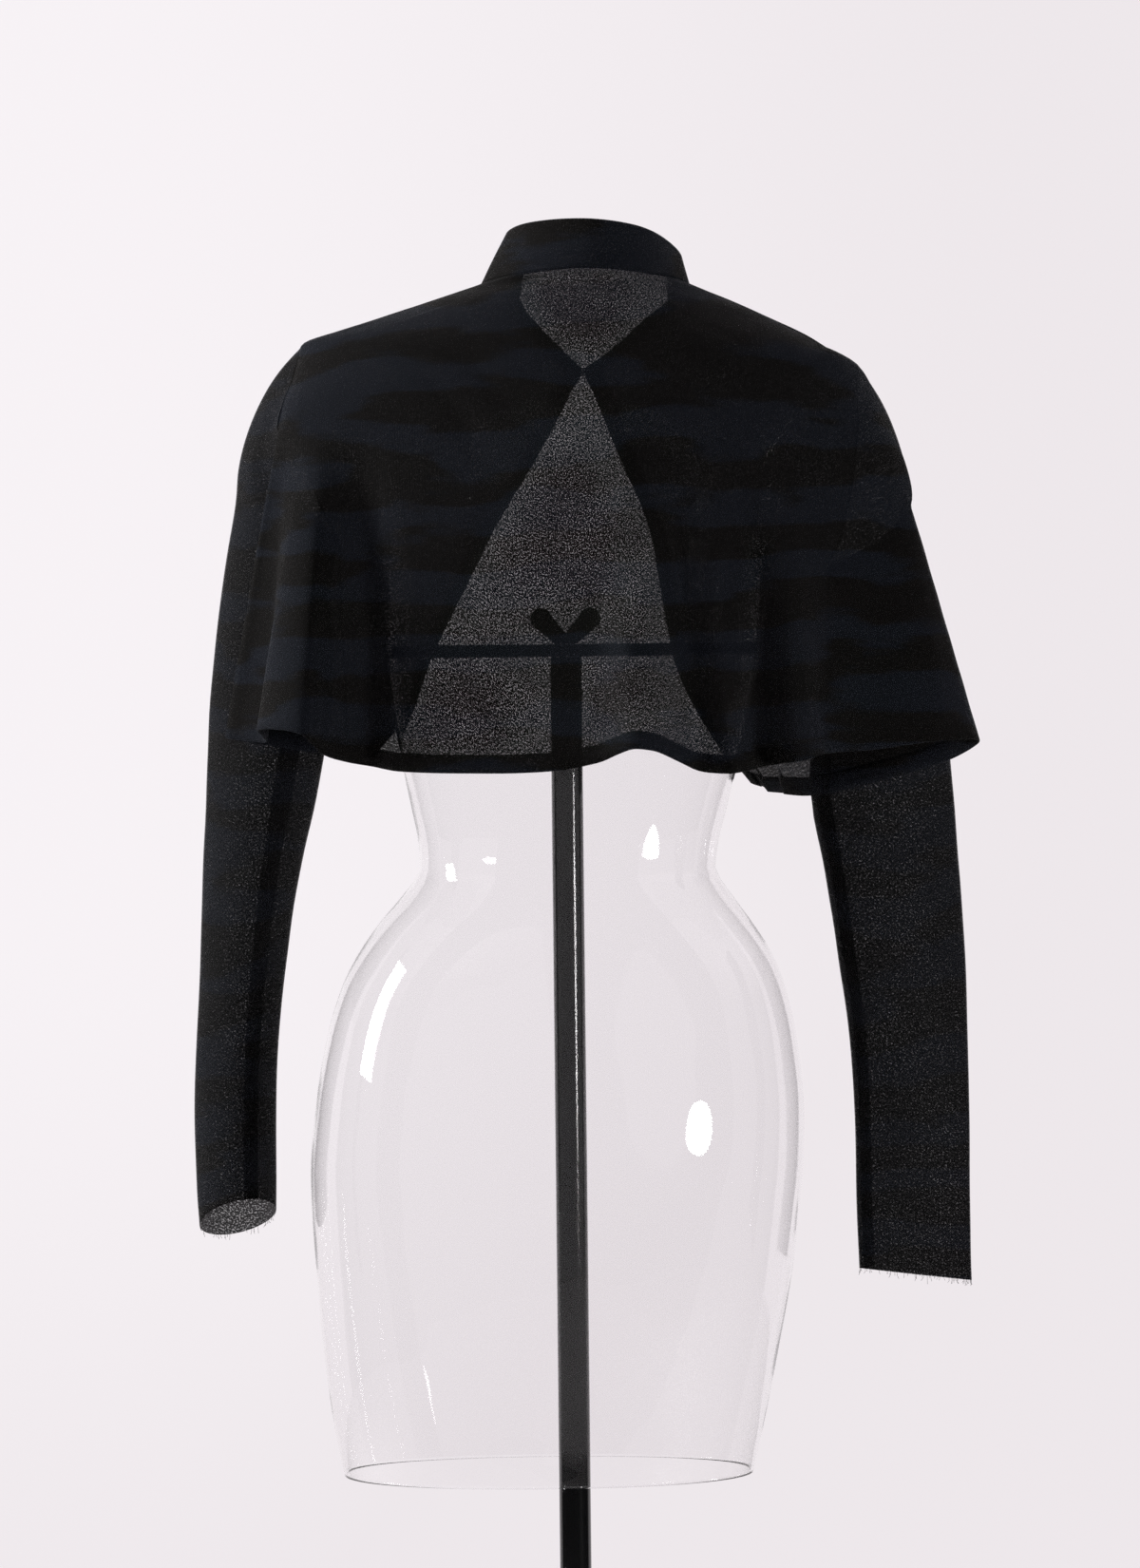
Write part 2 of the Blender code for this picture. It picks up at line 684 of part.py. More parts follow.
def form_shell(material):
    """The clear form: a shell from the rings of its table, open at the rim, closed at the neck."""
    bm = bmesh.new()
    rings = []
    for ring in FORM:
        angles = [2 * math.pi * k / FORM_SEGMENTS for k in range(FORM_SEGMENTS)]
        rings.append([bm.verts.new(ring_point(ring, angle) * MM) for angle in angles])
    for lower, upper in zip(rings, rings[1:]):
        for j in range(FORM_SEGMENTS):
            k = (j + 1) % FORM_SEGMENTS
            bm.faces.new((lower[j], lower[k], upper[k], upper[j]))
    bm.faces.new(rings[-1])
    thing = new_object("form_shell", mesh_from_bmesh("form_shell", bm), material)
    thicken = thing.modifiers.new("wall", "SOLIDIFY")
    thicken.thickness = FORM_WALL * MM
    thicken.offset = -1.0
    thing.data.shade_smooth()
    return thing


def turned(name, radius, low, high, segments, bevel, material):
    """An upright round bar or plate between two heights."""
    bm = bmesh.new()
    bmesh.ops.create_cone(
        bm, cap_ends=True, segments=segments, radius1=radius * MM, radius2=radius * MM,
        depth=(high - low) * MM,
    )
    bmesh.ops.translate(bm, vec=(0, 0, (high + low) / 2 * MM), verts=bm.verts)
    if bevel:
        rim = [edge for edge in bm.edges if abs(edge.verts[0].co.z - edge.verts[1].co.z) < 1e-6]
        bmesh.ops.bevel(bm, geom=rim, offset=bevel * MM, segments=2, profile=0.5, affect="EDGES")
    return new_object(name, mesh_from_bmesh(name, bm), material)


def crossbar(material):
    """The flat bar inside the form, from wall to wall."""
    ring = form_ring(BAR_HEIGHT)
    half = ring.half_width - FORM_WALL - BAR_CLEARANCE
    bm = bmesh.new()
    bmesh.ops.create_cube(bm, size=1.0)
    bmesh.ops.scale(bm, vec=(2 * half * MM, BAR_DEPTH * MM, BAR_THICKNESS * MM), verts=bm.verts)
    bmesh.ops.translate(bm, vec=(ring.centre * MM, 0, (BAR_HEIGHT + BAR_THICKNESS / 2) * MM), verts=bm.verts)
    bmesh.ops.bevel(
        bm, geom=bm.edges[:], offset=BAR_BEVEL * MM, segments=1, profile=0.5, affect="EDGES",
    )
    return new_object("crossbar", mesh_from_bmesh("crossbar", bm), material)


def wing_nut(material):
    """The nut that clamps the bar: a plate with two round ears over a straight foot."""
    low = BAR_HEIGHT + BAR_THICKNESS + PART_GAP
    outline = [(-NUT_HALF_BASE, 0.0), (NUT_HALF_BASE, 0.0)]
    for side in (1, -1):
        ear = []
        for k in range(EAR_POINTS):
            angle = math.radians(-60 + 230 * k / (EAR_POINTS - 1))
            ear.append((
                side * (EAR_SPREAD + EAR_RADIUS * math.cos(angle)),
                EAR_HEIGHT + EAR_RADIUS * math.sin(angle),
            ))
        outline += ear if side == 1 else ear[::-1]
        if side == 1:
            outline.append((0.0, NUT_HALF_BASE))
    bm = bmesh.new()
    verts = [bm.verts.new((x * MM, -NUT_THICKNESS / 2 * MM, (low + z) * MM)) for x, z in outline]
    face = bm.faces.new(verts)
    grown = bmesh.ops.extrude_face_region(bm, geom=[face])
    moved = [item for item in grown["geom"] if isinstance(item, bmesh.types.BMVert)]
    bmesh.ops.translate(bm, vec=(0, NUT_THICKNESS * MM, 0), verts=moved)
    return new_object("wing_nut", mesh_from_bmesh("wing_nut", bm), material)


def wire_ring(name, centre, along, up, radius, material):
    """A small closed wire ring, flat in the plane of the two directions."""
    through = along.cross(up).normalized()
    bm = bmesh.new()
    loops = []
    for k in range(WIRE_POINTS):
        turn = 2 * math.pi * k / WIRE_POINTS
        out = along * math.cos(turn) + up * math.sin(turn)
        loop = []
        for m in range(WIRE_SIDES):
            tilt = 2 * math.pi * m / WIRE_SIDES
            reach = radius + WIRE_RADIUS * math.cos(tilt)
            point = centre + out * reach + through * (WIRE_RADIUS * math.sin(tilt))
            loop.append(bm.verts.new(point * MM))
        loops.append(loop)
    for k in range(WIRE_POINTS):
        a, b = loops[k], loops[(k + 1) % WIRE_POINTS]
        for m in range(WIRE_SIDES):
            n = (m + 1) % WIRE_SIDES
            bm.faces.new((a[m], b[m], b[n], a[n]))
    return new_object(name, mesh_from_bmesh(name, bm), material)


def closing(fronts, material):
    """The eye behind the left front's point and the hook behind the right's, one on the other."""
    left, right = fronts["left"], fronts["right"]
    edge_a, edge_b = left[TIP][-1], right[TIP][-1]
    across = (edge_b - edge_a).normalized()
    up = (left[TIP - 1][-1] + right[TIP - 1][-1] - left[TIP + 1][-1] - right[TIP + 1][-1])
    up = (up - across * up.dot(across)).normalized()
    inward = up.cross(across).normalized()
    inward = inward if inward.y < 0 else -inward
    depth = WALL / 2 + PART_GAP + WIRE_RADIUS + EYE_DEPTH
    middle = (edge_a + edge_b) / 2 + inward * depth
    wire_ring("eye", middle - across * EYE_SHIFT, across, up, EYE_RADIUS, material)
    deeper = middle + inward * (2 * WIRE_RADIUS + PART_GAP)
    wire_ring("hook", deeper + across * EYE_SHIFT, across, up, HOOK_RADIUS, material)


def surface(name, colour, roughness, metallic=0.0, alpha=1.0):
    """A plain material with a colour, a roughness and a metallic value."""
    material = bpy.data.materials.new(name)
    material.use_nodes = True
    shader = material.node_tree.nodes["Principled BSDF"]
    shader.inputs["Base Color"].default_value = (*colour, 1.0)
    shader.inputs["Roughness"].default_value = roughness
    shader.inputs["Metallic"].default_value = metallic
    shader.inputs["Alpha"].default_value = alpha
    return material


def build_garment():
    """The cardigan's pieces and its closing hook and eye."""
    knit = surface("dark sheer knit", (0.012, 0.012, 0.016), 0.85)
    steel = surface("blackened wire", (0.05, 0.05, 0.055), 0.35, 1.0)
    back = back_rows()
    fronts = {side: front_rows(side) for side in ("left", "right")}
    for side, column, inner in (("left", 0, 1), ("right", -1, -2)):
        open_seam(fronts[side], back, 0, 1, column, inner, 0, TIP)
        open_seam(fronts[side], back, 0, 1, column, inner, UNDERARM, HEM)
    sheet("back_panel", back, WALL, knit)
    for side in ("left", "right"):
        sheet(f"front_{side}", fronts[side], WALL, knit)
        sheet(f"sleeve_{side}", sleeve_rings(side, back, fronts[side]), WALL, knit, closed=True)
    sheet("collar", collar_rows(), COLLAR_WALL, knit)
    closing(fronts, steel)


def build_stand():
    """The clear form and the stand that carries it."""
    clear = surface("clear plastic", (0.93, 0.93, 0.95), 0.03, 0.0, 0.25)
    black = surface("black gloss paint", (0.01, 0.01, 0.01), 0.12)
    form_shell(clear)
    turned("base_plate", PLATE_RADIUS, 0.0, PLATE_THICKNESS, PLATE_SEGMENTS, PLATE_BEVEL, black)
    low, high = PLATE_THICKNESS + PART_GAP, BAR_HEIGHT - PART_GAP
    turned("pole", POLE_RADIUS, low, high, POLE_SEGMENTS, 0.0, black)
    crossbar(black)
    wing_nut(black)


def main():
    """Empties the scene and builds everything."""
    for thing in list(bpy.data.objects):
        bpy.data.objects.remove(thing, do_unlink=True)
    build_stand()
    build_garment()


main()
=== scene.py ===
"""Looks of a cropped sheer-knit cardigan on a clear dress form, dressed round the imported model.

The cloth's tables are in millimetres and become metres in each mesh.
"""

import logging
import math
from dataclasses import dataclass, field
from enum import Enum
from typing import Callable, NamedTuple, Sequence

import bmesh
import bpy
import numpy as np
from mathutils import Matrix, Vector


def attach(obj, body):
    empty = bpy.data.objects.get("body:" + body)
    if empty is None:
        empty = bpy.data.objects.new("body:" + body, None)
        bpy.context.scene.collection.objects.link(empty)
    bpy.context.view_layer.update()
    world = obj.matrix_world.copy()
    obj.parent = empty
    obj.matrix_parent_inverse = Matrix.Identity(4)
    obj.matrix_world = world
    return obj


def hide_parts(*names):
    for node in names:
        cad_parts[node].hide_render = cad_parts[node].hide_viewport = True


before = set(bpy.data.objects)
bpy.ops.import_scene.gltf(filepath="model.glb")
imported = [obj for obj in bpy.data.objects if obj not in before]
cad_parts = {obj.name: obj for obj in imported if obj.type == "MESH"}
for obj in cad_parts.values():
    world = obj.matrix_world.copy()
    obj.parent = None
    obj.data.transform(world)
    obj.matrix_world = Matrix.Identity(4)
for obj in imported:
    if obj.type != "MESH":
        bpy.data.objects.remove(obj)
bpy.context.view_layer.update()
LOG = logging.getLogger("cardigan")

MM = 0.001

# How the cloth hangs: the share of a yoke row over which its ends leave the form, and the gaps to it
BACK_REACH = 0.42
FRONT_REACH = 0.7
BACK_GAP = 1.5
FRONT_GAP = 2.1
DRAPE_SOFTNESS = 3.0
RELEASE_READINGS = 400
SECTION_POWER = 2.2

# The cloth's fine relief
RIPPLE_RADIUS = 30.0
RIPPLE_LENGTHS = (17.0, 23.0, 11.0)
RIPPLE_BENDS = (41.0, 31.0, 57.0)
RIPPLE_PEAK = 2.2
SEAM_REACH = 14.0
CREASE_BOW = 0.06
CREASE_TAPER = (0.6, 0.8)
CREASE_ENDS = (0.03, 0.97)
CREASE_END_POWER = 0.6
LIP_STEPS = ((0.8, 0.2), (1.0, 0.6))
FORM_MIDDLE = (10.0, 0.0)
OFF_PATH = (0.31, 0.2, 0.93)

# The knit's pattern, in metres
BAND_PITCH = 0.047
BAND_WANDER = 0.11
BAND_DRIFT = (6.0, 6.0, 3.0)
BAND_PATCH = (9.0, 9.0, 40.0)
BAND_BEAT = 0.55
BAND_BREAK = 4.6
BAND_EDGE = 0.22
RIB_TONE = 0.3
RIB_HEIGHT = 0.00022
DENSITY_SCALE = 26.0
FUZZ_SCALE = 2600.0
DENSITY_SPREAD = 0.9
DENSITY_LEAST = 0.55
FUZZ_ROUGHNESS = 0.16

# The plastic's and the paint's unevenness, in features to the metre and metres
CLOUD_SCALE = 9.0
CLOUD_ROUGHNESS = 0.004
MOULD_SCALE = 14.0
MOULD_HEIGHT = 0.0006
SMEAR_SCALE = 26.0
SMEAR_STRETCH = (1.0, 1.0, 0.25)
SMEAR_ROUGHNESS = 0.10
PAINT_SCALE = 260.0
PAINT_HEIGHT = 0.00002

# How many rows of each panel lie along the shoulder, the armhole and the side seam
SHOULDER_ROWS = 5
ARM_ROWS = 8
SIDE_ROWS = 7
TIP = SHOULDER_ROWS
RELEASE = SHOULDER_ROWS + ARM_ROWS // 2
UNDERARM = SHOULDER_ROWS + ARM_ROWS
HEM = UNDERARM + SIDE_ROWS

# How many columns each fold, and how many rows and columns the collar takes
BACK_STEPS = 2
FRONT_STEPS = 3
COLLAR_ROWS = 4
COLLAR_COLUMNS = 26


class Ring(NamedTuple):
    """One ring of the form's surface."""

    z: float
    half_width: float
    front: float
    back: float
    centre: float
    tilt: float


class Point(NamedTuple):
    """A place in millimetres."""

    x: float
    y: float
    z: float


class Fold(NamedTuple):
    """A fold's start on the shoulder blades and its end on the hem."""

    start: float
    x: float
    y: float
    z: float


class Edge(NamedTuple):
    """A free edge's place at a row of its front."""

    row: int
    x: float
    y: float
    z: float


class Section(NamedTuple):
    """One section of a sleeve: its outer and inner ends, its middle's depth, half of its size from
    front to back, and how far the front dips."""

    out_x: float
    out_z: float
    in_x: float
    in_z: float
    middle_y: float
    half_depth: float
    dip: float


class Crease(NamedTuple):
    """A soft trough, or a ridge where its depth is below zero, placed on the flat cut in millimetres."""

    u0: float
    v0: float
    u1: float
    v1: float
    width: float
    depth: float


# The form's rings, from the rim up
FORM = (
    Ring(598.9, 146.2, 106, 112, -18.4, 0), Ring(639, 154.7, 108, 114, -17.6, 0),
    Ring(687.9, 162.9, 110, 118, -15.7, 0), Ring(740.9, 170, 110, 123, -12.9, 0),
    Ring(781.7, 173.8, 110, 126, -11.8, 0), Ring(822.5, 176.2, 109, 127, -10.1, 0),
    Ring(861.2, 174.6, 107, 125, -7.9, 0), Ring(910.1, 168, 103, 119, -6.1, 0),
    Ring(944.1, 159.4, 100, 112, -4.8, 0), Ring(967.2, 149.6, 97, 104, -3.6, 0),
    Ring(993.2, 132.6, 92, 94, -2.8, 0), Ring(1014.2, 116, 87, 85, -1.4, 0),
    Ring(1031.2, 105.8, 84, 80, -0.5, 0), Ring(1049.5, 107.4, 85, 79.5, 0.6, 0),
    Ring(1072.7, 112.5, 88, 80, 1.3, 0), Ring(1099.2, 118.7, 91, 81, 2.2, 0),
    Ring(1150, 130, 97, 84, 4.6, 0.004), Ring(1200, 138, 112, 89, 7, 0.012),
    Ring(1250, 144, 125, 94, 9.5, 0.022), Ring(1300, 149, 108, 98, 11.5, 0.035),
    Ring(1345, 162, 84, 97, 12.8, 0.050), Ring(1378, 179, 66, 90, 14, 0.057),
    Ring(1396, 182, 59, 84, 14, 0.052), Ring(1406.5, 175, 55, 79, 14, 0.044),
    Ring(1419, 144, 50, 71, 14.5, 0.032), Ring(1433.5, 106, 44, 63, 15, 0.016),
    Ring(1445, 72, 39, 55, 15.5, 0), Ring(1453, 59, 37, 47, 16.5, 0), Ring(1462, 52, 36, 43, 17.5, 0),
    Ring(1468, 45, 31, 37, 18, 0), Ring(1471, 24, 17, 20, 18, 0),
)

# The neckline, from the left front end round the back to the right front end, and the collar's top edge
NECK_BASE = (
    Point(-32, 44, 1443.5), Point(-52, 24, 1446.5), Point(-56.6, -4, 1448.5), Point(-31, -47, 1452.5),
    Point(15.4, -61, 1456), Point(62, -47, 1452.5), Point(88.8, -4, 1448), Point(90, 24, 1443.5),
    Point(77.5, 44, 1439),
)
LEFT_NECK = 2
RIGHT_NECK = 6
COLLAR_TOP = (
    Point(-27, 33, 1471), Point(-38, 16, 1479), Point(-36.5, -10, 1486), Point(-18, -38, 1489.5),
    Point(20, -51, 1490), Point(57, -38, 1485), Point(78, -10, 1475.5), Point(85.5, 14, 1466),
    Point(79, 34, 1459.5),
)

# The armholes, from the shoulder tip down the back to the underarm and up the front
ARMHOLES = {
    "left": (
        Point(-184.9, 0, 1407.3), Point(-192.5, -27, 1380), Point(-201.9, -45, 1345.8),
        Point(-187, -28, 1295), Point(-162, 4, 1268), Point(-174, 33, 1290), Point(-188, 46, 1335),
        Point(-188, 27, 1381),
    ),
    "right": (
        Point(212, 0, 1385.5), Point(230.5, -22, 1345), Point(246, -42, 1290), Point(222, -26, 1260),
        Point(190, 3, 1247), Point(197, 30, 1262), Point(207, 46, 1300), Point(212, 27, 1348),
    ),
}
SIDE_HEM = {"left": Point(-157.0, 8.0, 1112.0), "right": Point(184.0, 6.0, 1082.0)}

# How high the middle of each back row lies, from the neckline to the shoulder blades
BACK_MIDDLE = (1456.0, 1447.0, 1438.0, 1428.0, 1417.0, 1405.0, 1390.0, 1373.0, 1355.0, 1335.0)

# The back's folds: where each starts on the shoulder blades and where it ends on the hem
BACK_FOLDS = (
    Fold(-202, -157, 8, 1112), Fold(-201, -242, -45, 1127), Fold(-196, -212, -76, 1123.5),
    Fold(-180, -215.5, -120, 1132), Fold(-170, -184, -150, 1128.5), Fold(-157, -167.6, -130, 1113.5),
    Fold(-141, -138, -105, 1106), Fold(-118, -118, -123, 1102), Fold(-66, -66.5, -133, 1100),
    Fold(-9, -9, -137, 1101), Fold(22, 23, -142, 1107), Fold(40, 45, -160, 1115.5),
    Fold(56, 64.7, -154, 1113), Fold(72, 92, -125, 1100), Fold(100, 115.5, -139, 1098),
    Fold(128, 139.5, -112, 1103), Fold(156, 165, -150, 1106.5), Fold(170, 183, -125, 1111.5),
    Fold(210, 213, -99, 1113.5), Fold(228, 248, -88, 1118), Fold(240, 285, -66, 1120.5),
    Fold(243, 292, -43, 1117.5), Fold(244, 272, -25, 1106), Fold(245, 233, -18, 1094),
    Fold(246, 184, 6, 1082),
)
FRONT_FOLDS = {
    "left": (
        Fold(-188, -157, 8, 1112), Fold(-170, -147, 36, 1110), Fold(-143, -153, 64, 1112),
        Fold(-110, -139, 88, 1114), Fold(-65, -146, 111, 1119), Fold(-17, -137, 128, 1121),
    ),
    "right": (
        Fold(207, 184, 6, 1082), Fold(188, 170, 25, 1081.5), Fold(160, 157, 47, 1083),
        Fold(128, 161, 70, 1083.5), Fold(96, 147, 92, 1085), Fold(68, 149, 112, 1087),
        Fold(41, 136.5, 130, 1091),
    ),
}

# The fronts' free edges: from the collar's end to the closing point, then slanting down to the hem
FRONT_EDGES = {
    "left": (
        Edge(0, -32, 44, 1443.5), Edge(1, -26, 50, 1432), Edge(3, -6, 62, 1412), Edge(5, 13, 72, 1391.5),
        Edge(9, -17, 101, 1337), Edge(13, -54, 125, 1277), Edge(15, -77, 132, 1232),
        Edge(17, -100, 132, 1188), Edge(19, -119, 130, 1143), Edge(20, -137, 128, 1121),
    ),
    "right": (
        Edge(0, 77.5, 44, 1439), Edge(1, 66, 50, 1431), Edge(3, 42, 62, 1411), Edge(5, 17, 72, 1391.5),
        Edge(9, 42, 103, 1330), Edge(13, 65.5, 125, 1272), Edge(15, 73, 132, 1226),
        Edge(17, 83, 132, 1176), Edge(18, 93, 132, 1153), Edge(19, 112, 131, 1122),
        Edge(20, 136.5, 130, 1091),
    ),
}

# The sleeves below their caps, section by section
SLEEVES = {
    "left": (
        Section(-236.5, 1294, -170, 1233, 30, 41, 0), Section(-244.5, 1251, -168.5, 1215, 30, 40, 0),
        Section(-251, 1202, -167.5, 1187, 29, 38.5, 0), Section(-256.5, 1145, -170.7, 1140, 29, 37, 0),
        Section(-259.7, 1085, -181.2, 1084, 28, 36, 0), Section(-262.9, 1027, -194.2, 1026, 27, 35, 0),
        Section(-265.3, 967, -203.5, 967, 27, 32, 0), Section(-268.5, 907, -210.2, 907, 27, 30, 1),
        Section(-270.3, 850, -212.4, 850, 27, 28.5, 4), Section(-269.5, 802, -213.2, 806, 27, 27.5, 9),
        Section(-268.2, 776, -213.5, 788, 27, 27, 13),
    ),
    "right": (
        Section(250.5, 1282, 194, 1218, 33, 40, 0), Section(257, 1243, 190.5, 1199, 33, 37, 0),
        Section(264.5, 1195, 186, 1170, 33, 33.5, 0), Section(271.5, 1145, 178.5, 1133, 33, 29.5, 0),
        Section(277.2, 1090, 175.5, 1085, 33, 26.5, 0), Section(281.7, 1026, 185.7, 1024, 33, 24.5, 0),
        Section(285.3, 965, 194.2, 964, 33, 21.5, 0), Section(286.5, 905, 201.8, 905, 33, 18.5, 0),
        Section(286.6, 846, 204.9, 846, 33, 14.5, 0), Section(286.9, 785, 206, 787, 33, 11, 0),
        Section(287.5, 730.5, 207, 740, 33, 9, 1),
    ),
}

# The cap between the armhole and the first section: how far it stands out, and forward over a
# share of its turn, in degrees
CAP_RINGS = 4
CAP_OUTWARD = (0.85, 0.5)
CAP_BULGE = {"left": 13.0, "right": 8.0}
CAP_FORWARD = 12.0
CAP_FORWARD_START = 45.0
CAP_FORWARD_END = 190.0
CAP_FORWARD_RATE = 180 / 145


@dataclass
class FormShape:
    """The dress form's outer surface, worked out from its table of rings, in millimetres.

    Attributes:
        rings: the table of rings, from the rim up.
        power: the exponent of the rounded-box section.
    """

    rings: Sequence[Ring] = FORM
    power: float = SECTION_POWER

    def column(self, z: float, name: str) -> float:
        """Reads one column of the table smoothly at a height.

        Args:
            z: the height.
            name: the column's name.

        Returns:
            The value there.
        """
        keys = [ring.z for ring in self.rings]
        values = [getattr(ring, name) for ring in self.rings]
        return monotone(keys, values, z)

    def ring(self, z: float) -> Ring:
        """The form's sizes at a height."""
        return Ring(z, *(self.column(z, name) for name in Ring._fields[1:]))

    def point(self, ring: Ring, angle: float, gap: float = 0.0) -> Vector:
        """Finds a point of a ring, moved out by a gap.

        Args:
            ring: the ring's sizes.
            angle: the angle round the form, from +X towards +Y.
            gap: how far out the point lies.

        Returns:
            The point.
        """
        c, s = math.cos(angle), math.sin(angle)
        depth = ring.front if s > 0 else ring.back
        across = (ring.half_width + gap) * signed_power(c, 2 / self.power)
        along = (depth + gap) * signed_power(s, 2 / self.power)
        return Vector((ring.centre + across, along, ring.z - ring.tilt * across))

    def beside(self, angle: float, z: float, gap: float) -> Vector:
        """Finds a point at a height just outside the form.

        Args:
            angle: the angle round the form.
            z: the point's height.
            gap: how far off the form it lies.

        Returns:
            The point.
        """
        level = z - gap
        for _ in range(3):
            point = self.point(self.ring(level), angle, gap)
            level += z - gap - point.z
        point.z = z
        return point

    def level(self, point: Vector) -> float:
        """The height of the tilted ring that passes through a point."""
        ring = self.ring(point.z)
        return point.z + ring.tilt * (point.x - ring.centre)

    def angle(self, point: Vector) -> float:
        """The angle at which a point lies round the form, from 0 to a full turn."""
        ring = self.ring(self.level(point))
        depth = ring.front if point.y > 0 else ring.back
        across = signed_power((point.x - ring.centre) / ring.half_width, self.power / 2)
        along = signed_power(point.y / depth, self.power / 2)
        return math.atan2(along, across) % (2 * math.pi)

    def clear(self, point: Vector, gap: float) -> Vector:
        """Pushes a point out softly where the form would touch the cloth.

        Args:
            point: the cloth's point.
            gap: how far off the form the cloth's middle stays.

        Returns:
            The point, moved out where it has to be.
        """
        ring = self.ring(self.level(point) - gap)
        centre = Vector((ring.centre, 0.0, point.z))
        arm = point - centre
        distance = arm.length
        limit = (self.point(ring, self.angle(point), gap).xy - centre.xy).length
        difference = distance - limit
        spread = math.hypot(difference, DRAPE_SOFTNESS)
        out = 0.5 * (distance + limit + spread)
        if difference > 0:
            out = max(out - 0.5 * (spread - difference), distance)
        return centre + arm * (out / distance)


def monotone(keys: Sequence[float], values: Sequence[float], at: float) -> float:
    """Reads a curve between the rows of a table without overshooting them.

    Args:
        keys: the table's keys, rising.
        values: the values at the keys.
        at: where to read.

    Returns:
        The value there.
    """
    at = min(max(at, keys[0]), keys[-1])
    i = max(k for k in range(len(keys) - 1) if keys[k] <= at)
    slopes = [(values[k + 1] - values[k]) / (keys[k + 1] - keys[k]) for k in range(len(keys) - 1)]
    before, here, after = slopes[max(i - 1, 0)], slopes[i], slopes[min(i + 1, len(slopes) - 1)]
    start = 0.0 if before * here <= 0 else 2 * before * here / (before + here)
    end = 0.0 if after * here <= 0 else 2 * after * here / (after + here)
    width = keys[i + 1] - keys[i]
    t = (at - keys[i]) / width
    return (
        values[i] * (1 + 2 * t) * (1 - t) ** 2
        + start * width * t * (1 - t) ** 2
        + values[i + 1] * t * t * (3 - 2 * t)
        + end * width * t * t * (t - 1)
    )


def signed_power(value: float, exponent: float) -> float:
    """A power that keeps the value's sign."""
    return math.copysign(abs(value) ** exponent, value)


def smooth_curve(points: Sequence[Vector], at: float, closed: bool = False) -> Vector:
    """Finds a point on the rounded curve through some points.

    Args:
        points: the points that the curve passes.
        at: the place, counted in points from the first.
        closed: whether the curve runs on from the last point to the first.

    Returns:
        The point.
    """
    count = len(points)
    first = math.floor(at) if closed else min(max(math.floor(at), 0), count - 2)
    share = at - first
    if closed:
        p = [points[(first + k) % count] for k in (-1, 0, 1, 2)]
    else:
        p = [points[min(max(first + k, 0), count - 1)] for k in (-1, 0, 1, 2)]
        if first == 0:
            p[0] = 2 * p[1] - p[2]
        if first == count - 2:
            p[3] = 2 * p[2] - p[1]
    knots = [0.0]
    for a, b in zip(p, p[1:]):
        knots.append(knots[-1] + max((b - a).length, 1e-6) ** 0.5)
    t = knots[1] + share * (knots[2] - knots[1])
    for level in (1, 2, 3):
        p = [
            a.lerp(b, (t - knots[i]) / (knots[i + level] - knots[i]))
            for i, (a, b) in enumerate(zip(p, p[1:]))
        ]
    return p[0]


def fade(share: float, reach: float) -> float:
    """One at a seam, zero beyond the reach, with a soft run between."""
    if share >= reach:
        return 0.0
    return 0.5 * (1 + math.cos(math.pi * share / reach))


class Side(Enum):
    """The garment's two sides, as seen from behind."""

    LEFT = "left"
    RIGHT = "right"


RowEnd = Callable[[int], Vector]


